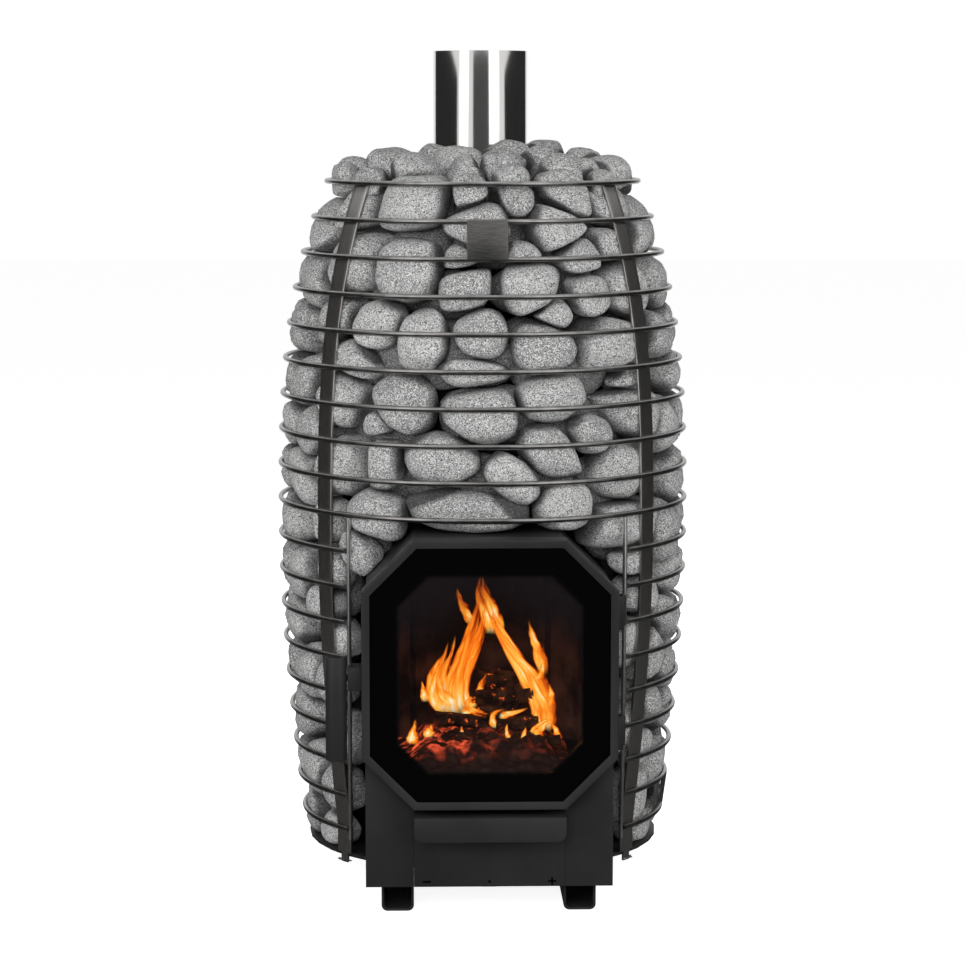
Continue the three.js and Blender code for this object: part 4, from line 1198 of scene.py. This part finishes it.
# Each flame is four points from its root to its tip, first their places to the right and then their
# heights, with its width and how far back it stands, in mm.
flame_paths = [
    [(-22, -27, -9, -8), (175, 222, 284, 352), 30, 45],
    [(-26, -22, -3, -3), (176, 226, 271, 318), 20, 50],
    [(73, 62, 25, -1), (153, 213, 266, 348), 28, 50],
    [(75, 50, 17, 9), (154, 229, 282, 331), 18, 58],
    [(73, 74, 62, 40), (155, 182, 214, 247), 24, 44], [(13, 9, 1, 4), (270, 298, 325, 356), 22, 62],
    [(-36, -54, -52, -29), (181, 206, 236, 265), 26, 40],
    [(-58, -58, -49, -41), (182, 213, 242, 276), 11, 44],
    [(-48, -46, -38, -33), (192, 227, 249, 278), 10, 46],
    [(-12, -22, -29, -30), (286, 303, 318, 338), 12, 48],
    [(76, 69, 62, 57), (221, 251, 271, 296), 14, 46],
    [(64, 73, 75, 78), (217, 227, 237, 244), 9, 44],
    [(78, 84, 84, 82), (179, 194, 203, 215), 12, 36],
    [(-70, -71, -73, -74), (192, 203, 213, 223), 7, 30],
    [(-87, -85, -83, -81), (146, 157, 170, 181), 11, 0],
    [(-62, -66, -65, -64), (155, 161, 166, 173), 13, 5],
    [(-26, -14, -2, 10), (176, 180, 178, 177), 12, 34],
    [(-9, -16, -13, -10), (184, 192, 197, 204), 14, 32],
    [(13, 13, 15, 30), (158, 168, 177, 182), 8, 28],
    [(20, 32, 44, 62), (177, 176, 180, 186), 8, 32], [(-1, -2, 1, 7), (189, 199, 209, 223), 9, 62],
    [(63, 68, 78, 88), (153, 160, 168, 160), 15, 16],
    [(91, 91, 87, 80), (148, 157, 164, 168), 9, 8], [(30, 29, 28, 28), (155, 161, 168, 174), 5, -5],
    [(48, 49, 50, 50), (149, 156, 163, 171), 7, -8],
    [(-26, -26, -26, -25), (160, 163, 166, 170), 5, 0],
]
# A wide flame has several strands side by side, each a thin strip that sways, frays and narrows
# to its tip.
flame_finish = flame_light()
path_shares = (0, 1 / 3, 2 / 3, 1)
strand_pitch = 15
strand_width = 1.45
flame_skin = 0.0005
for number, (places, heights, width, back) in enumerate(flame_paths):
    x_curve = np.poly1d(np.polyfit(path_shares, places, 3))
    z_curve = np.poly1d(np.polyfit(path_shares, heights, 3))
    strands = []
    strand_count = 1 + width // strand_pitch
    for count in range(strand_count):
        aside = width * ((count + 0.5) / strand_count - 0.5)
        half_width = strand_width * width / (1 + strand_count) * (1 + 0.5 * next_chance())
        stop = 1 - 0.22 * abs(next_chance()) - 0.25 * abs(aside / width)
        phase = 6 * next_chance()
        set_back = back + 14 * next_chance()
        strand = added(bpy.ops.mesh.primitive_grid_add, x_subdivisions=8, y_subdivisions=36, size=1)
        for vertex in strand.data.vertices:
            side = 2 * vertex.co.x
            share = vertex.co.y + 0.5
            t = stop * share
            way = Vector((z_curve.deriv()(t), 0, -x_curve.deriv()(t))).normalized()
            ragged = 1 + 0.35 * noise.noise(Vector((2 * side, 6 * share, 3 * number + count)))
            half = half_width * min(1, 0.7 + 1.2 * share) * (1 - share ** 1.6) ** 0.8 * ragged
            sway = aside * (1 - 0.55 * share) + 0.12 * width * share * math.sin(5 * share + phase)
            belly = 2 * (1 - side ** 2) + 3 * math.sin(6 * share + phase)
            point = Vector((x_curve(t), set_back + belly, z_curve(t)))
            vertex.co = (point + (sway + side * half) * way) / 1000
        strands.append(strand)
    pick(*strands)
    bpy.ops.object.join()
    tongue = strands[0]
    modified(tongue, "SOLIDIFY", thickness=flame_skin)
    finish_piece(tongue, "flame_%02d" % (number + 1), flame_finish, "stove", "cast_iron")


# Floor and background: a plain pale sheet. The camera, metal and glass see it as white, and the
# stove's shadow stays on it.
def seen_white(tree):
    ray = tree.make("LightPath", {}, {}, output="Is Camera Ray")
    glossy = tree.make("LightPath", {}, {}, output="Is Glossy Ray")
    through = tree.make("LightPath", {}, {}, output="Is Transmission Ray")
    return ray.math("MAXIMUM", ray.math("MAXIMUM", ray, glossy), through)


floor = added(bpy.ops.mesh.primitive_plane_add, size=30, location=(0, 0, cad_low.z))
floor.name = "studio_floor"
paper, paper_tree = new_material("pale_floor")[:2]
sheet = paper_tree.make("BsdfDiffuse", {}, {"Color": rgb(0.6, 0.6, 0.6)})
bright = paper_tree.make("Emission", {}, {"Color": rgb(1, 1, 1), "Strength": 0.9})
lifted = paper_tree.make("AddShader", {}, {0: sheet, 1: bright})
paper_seen = seen_white(paper_tree)
close_material(paper_tree, paper_tree.make("MixShader", {}, {0: paper_seen, 1: sheet, 2: lifted}))
floor.data.materials.append(paper)

world = bpy.data.worlds.new("studio")
world.use_nodes = True
world.node_tree.nodes.clear()
sky = Wire(world.node_tree)
dim = sky.make("Background", {}, {"Color": rgb(1, 1, 1), "Strength": 0.14})
white = sky.make("Background", {}, {"Color": rgb(1, 1, 1), "Strength": 1.0})
sky_light = sky.make("MixShader", {}, {0: seen_white(sky), 1: dim, 2: white})
sky.make("OutputWorld", {}, {"Surface": sky_light})
scene.world = world

# Studio lamps and cards: a key lamp by the camera and a fill on the other three sides, and soft boxes
# that the metal reflects. Dark cards beside and before the stove show in reflections only.
reflected_lamps = ("soft_box_left", "soft_box_right", "overhead")
lamp_target = Vector((0, 0, 0.5))
for name, place, size, power in [
    ("soft_box_left", (-1.67, -1.70, 1.25), (0.93, 2.0), 8),
    ("soft_box_right", (1.34, -1.95, 1.25), (1.05, 2.0), 8),
    ("overhead", (0.0, -0.7, 2.7), (1.8, 1.4), 4),
    ("key", (-0.5, -3.2, 1.45), (1.6, 1.4), 68),
    ("fill_left", (-2.5, -1.3, 1.0), (1.2, 1.6), 22),
    ("fill_right", (2.5, -1.3, 1.0), (1.2, 1.6), 30),
    ("fill_behind", (0.4, 3.0, 1.6), (1.6, 1.4), 75),
]:
    bpy.ops.object.light_add(type="AREA", location=place)
    lamp = bpy.context.object
    lamp.name = name
    lamp.data.shape = "RECTANGLE"
    lamp.data.size, lamp.data.size_y = size
    lamp.data.energy = power
    lamp.visible_glossy = name in reflected_lamps
    aim = lamp_target - Vector(place)
    lamp.rotation_euler = aim.to_track_quat("-Z", "Y").to_euler()

for name, place, size, tip, turn, shade in [
    ("card_left", (-1.5, 0.75, 0.74), (3.0, 1.48), 90, 90, 0.03),
    ("card_right", (1.5, 0.75, 0.74), (3.0, 1.48), 90, 90, 0.03),
    ("card_behind_camera", (0.0, -4.4, 1.5), (3.2, 3.0), 90, 0, 0.09),
    ("card_on_floor", (0.0, -1.2, cad_low.z + 0.002), (4.0, 5.8), 0, 0, 0.06),
]:
    turned = (math.radians(tip), 0, math.radians(turn))
    card = added(bpy.ops.mesh.primitive_plane_add, size=1, location=place, rotation=turned)
    card.name = name
    card.scale = (*size, 1)
    card.visible_camera = False
    card.visible_diffuse = False
    card.visible_shadow = False
    felt, felt_tree = new_material(name + "_felt")[:2]
    glow = felt_tree.make("Emission", {}, {"Color": rgb(1, 1, 1), "Strength": shade})
    close_material(felt_tree, glow)
    card.data.materials.append(felt)

scene.view_settings.view_transform = "Standard"
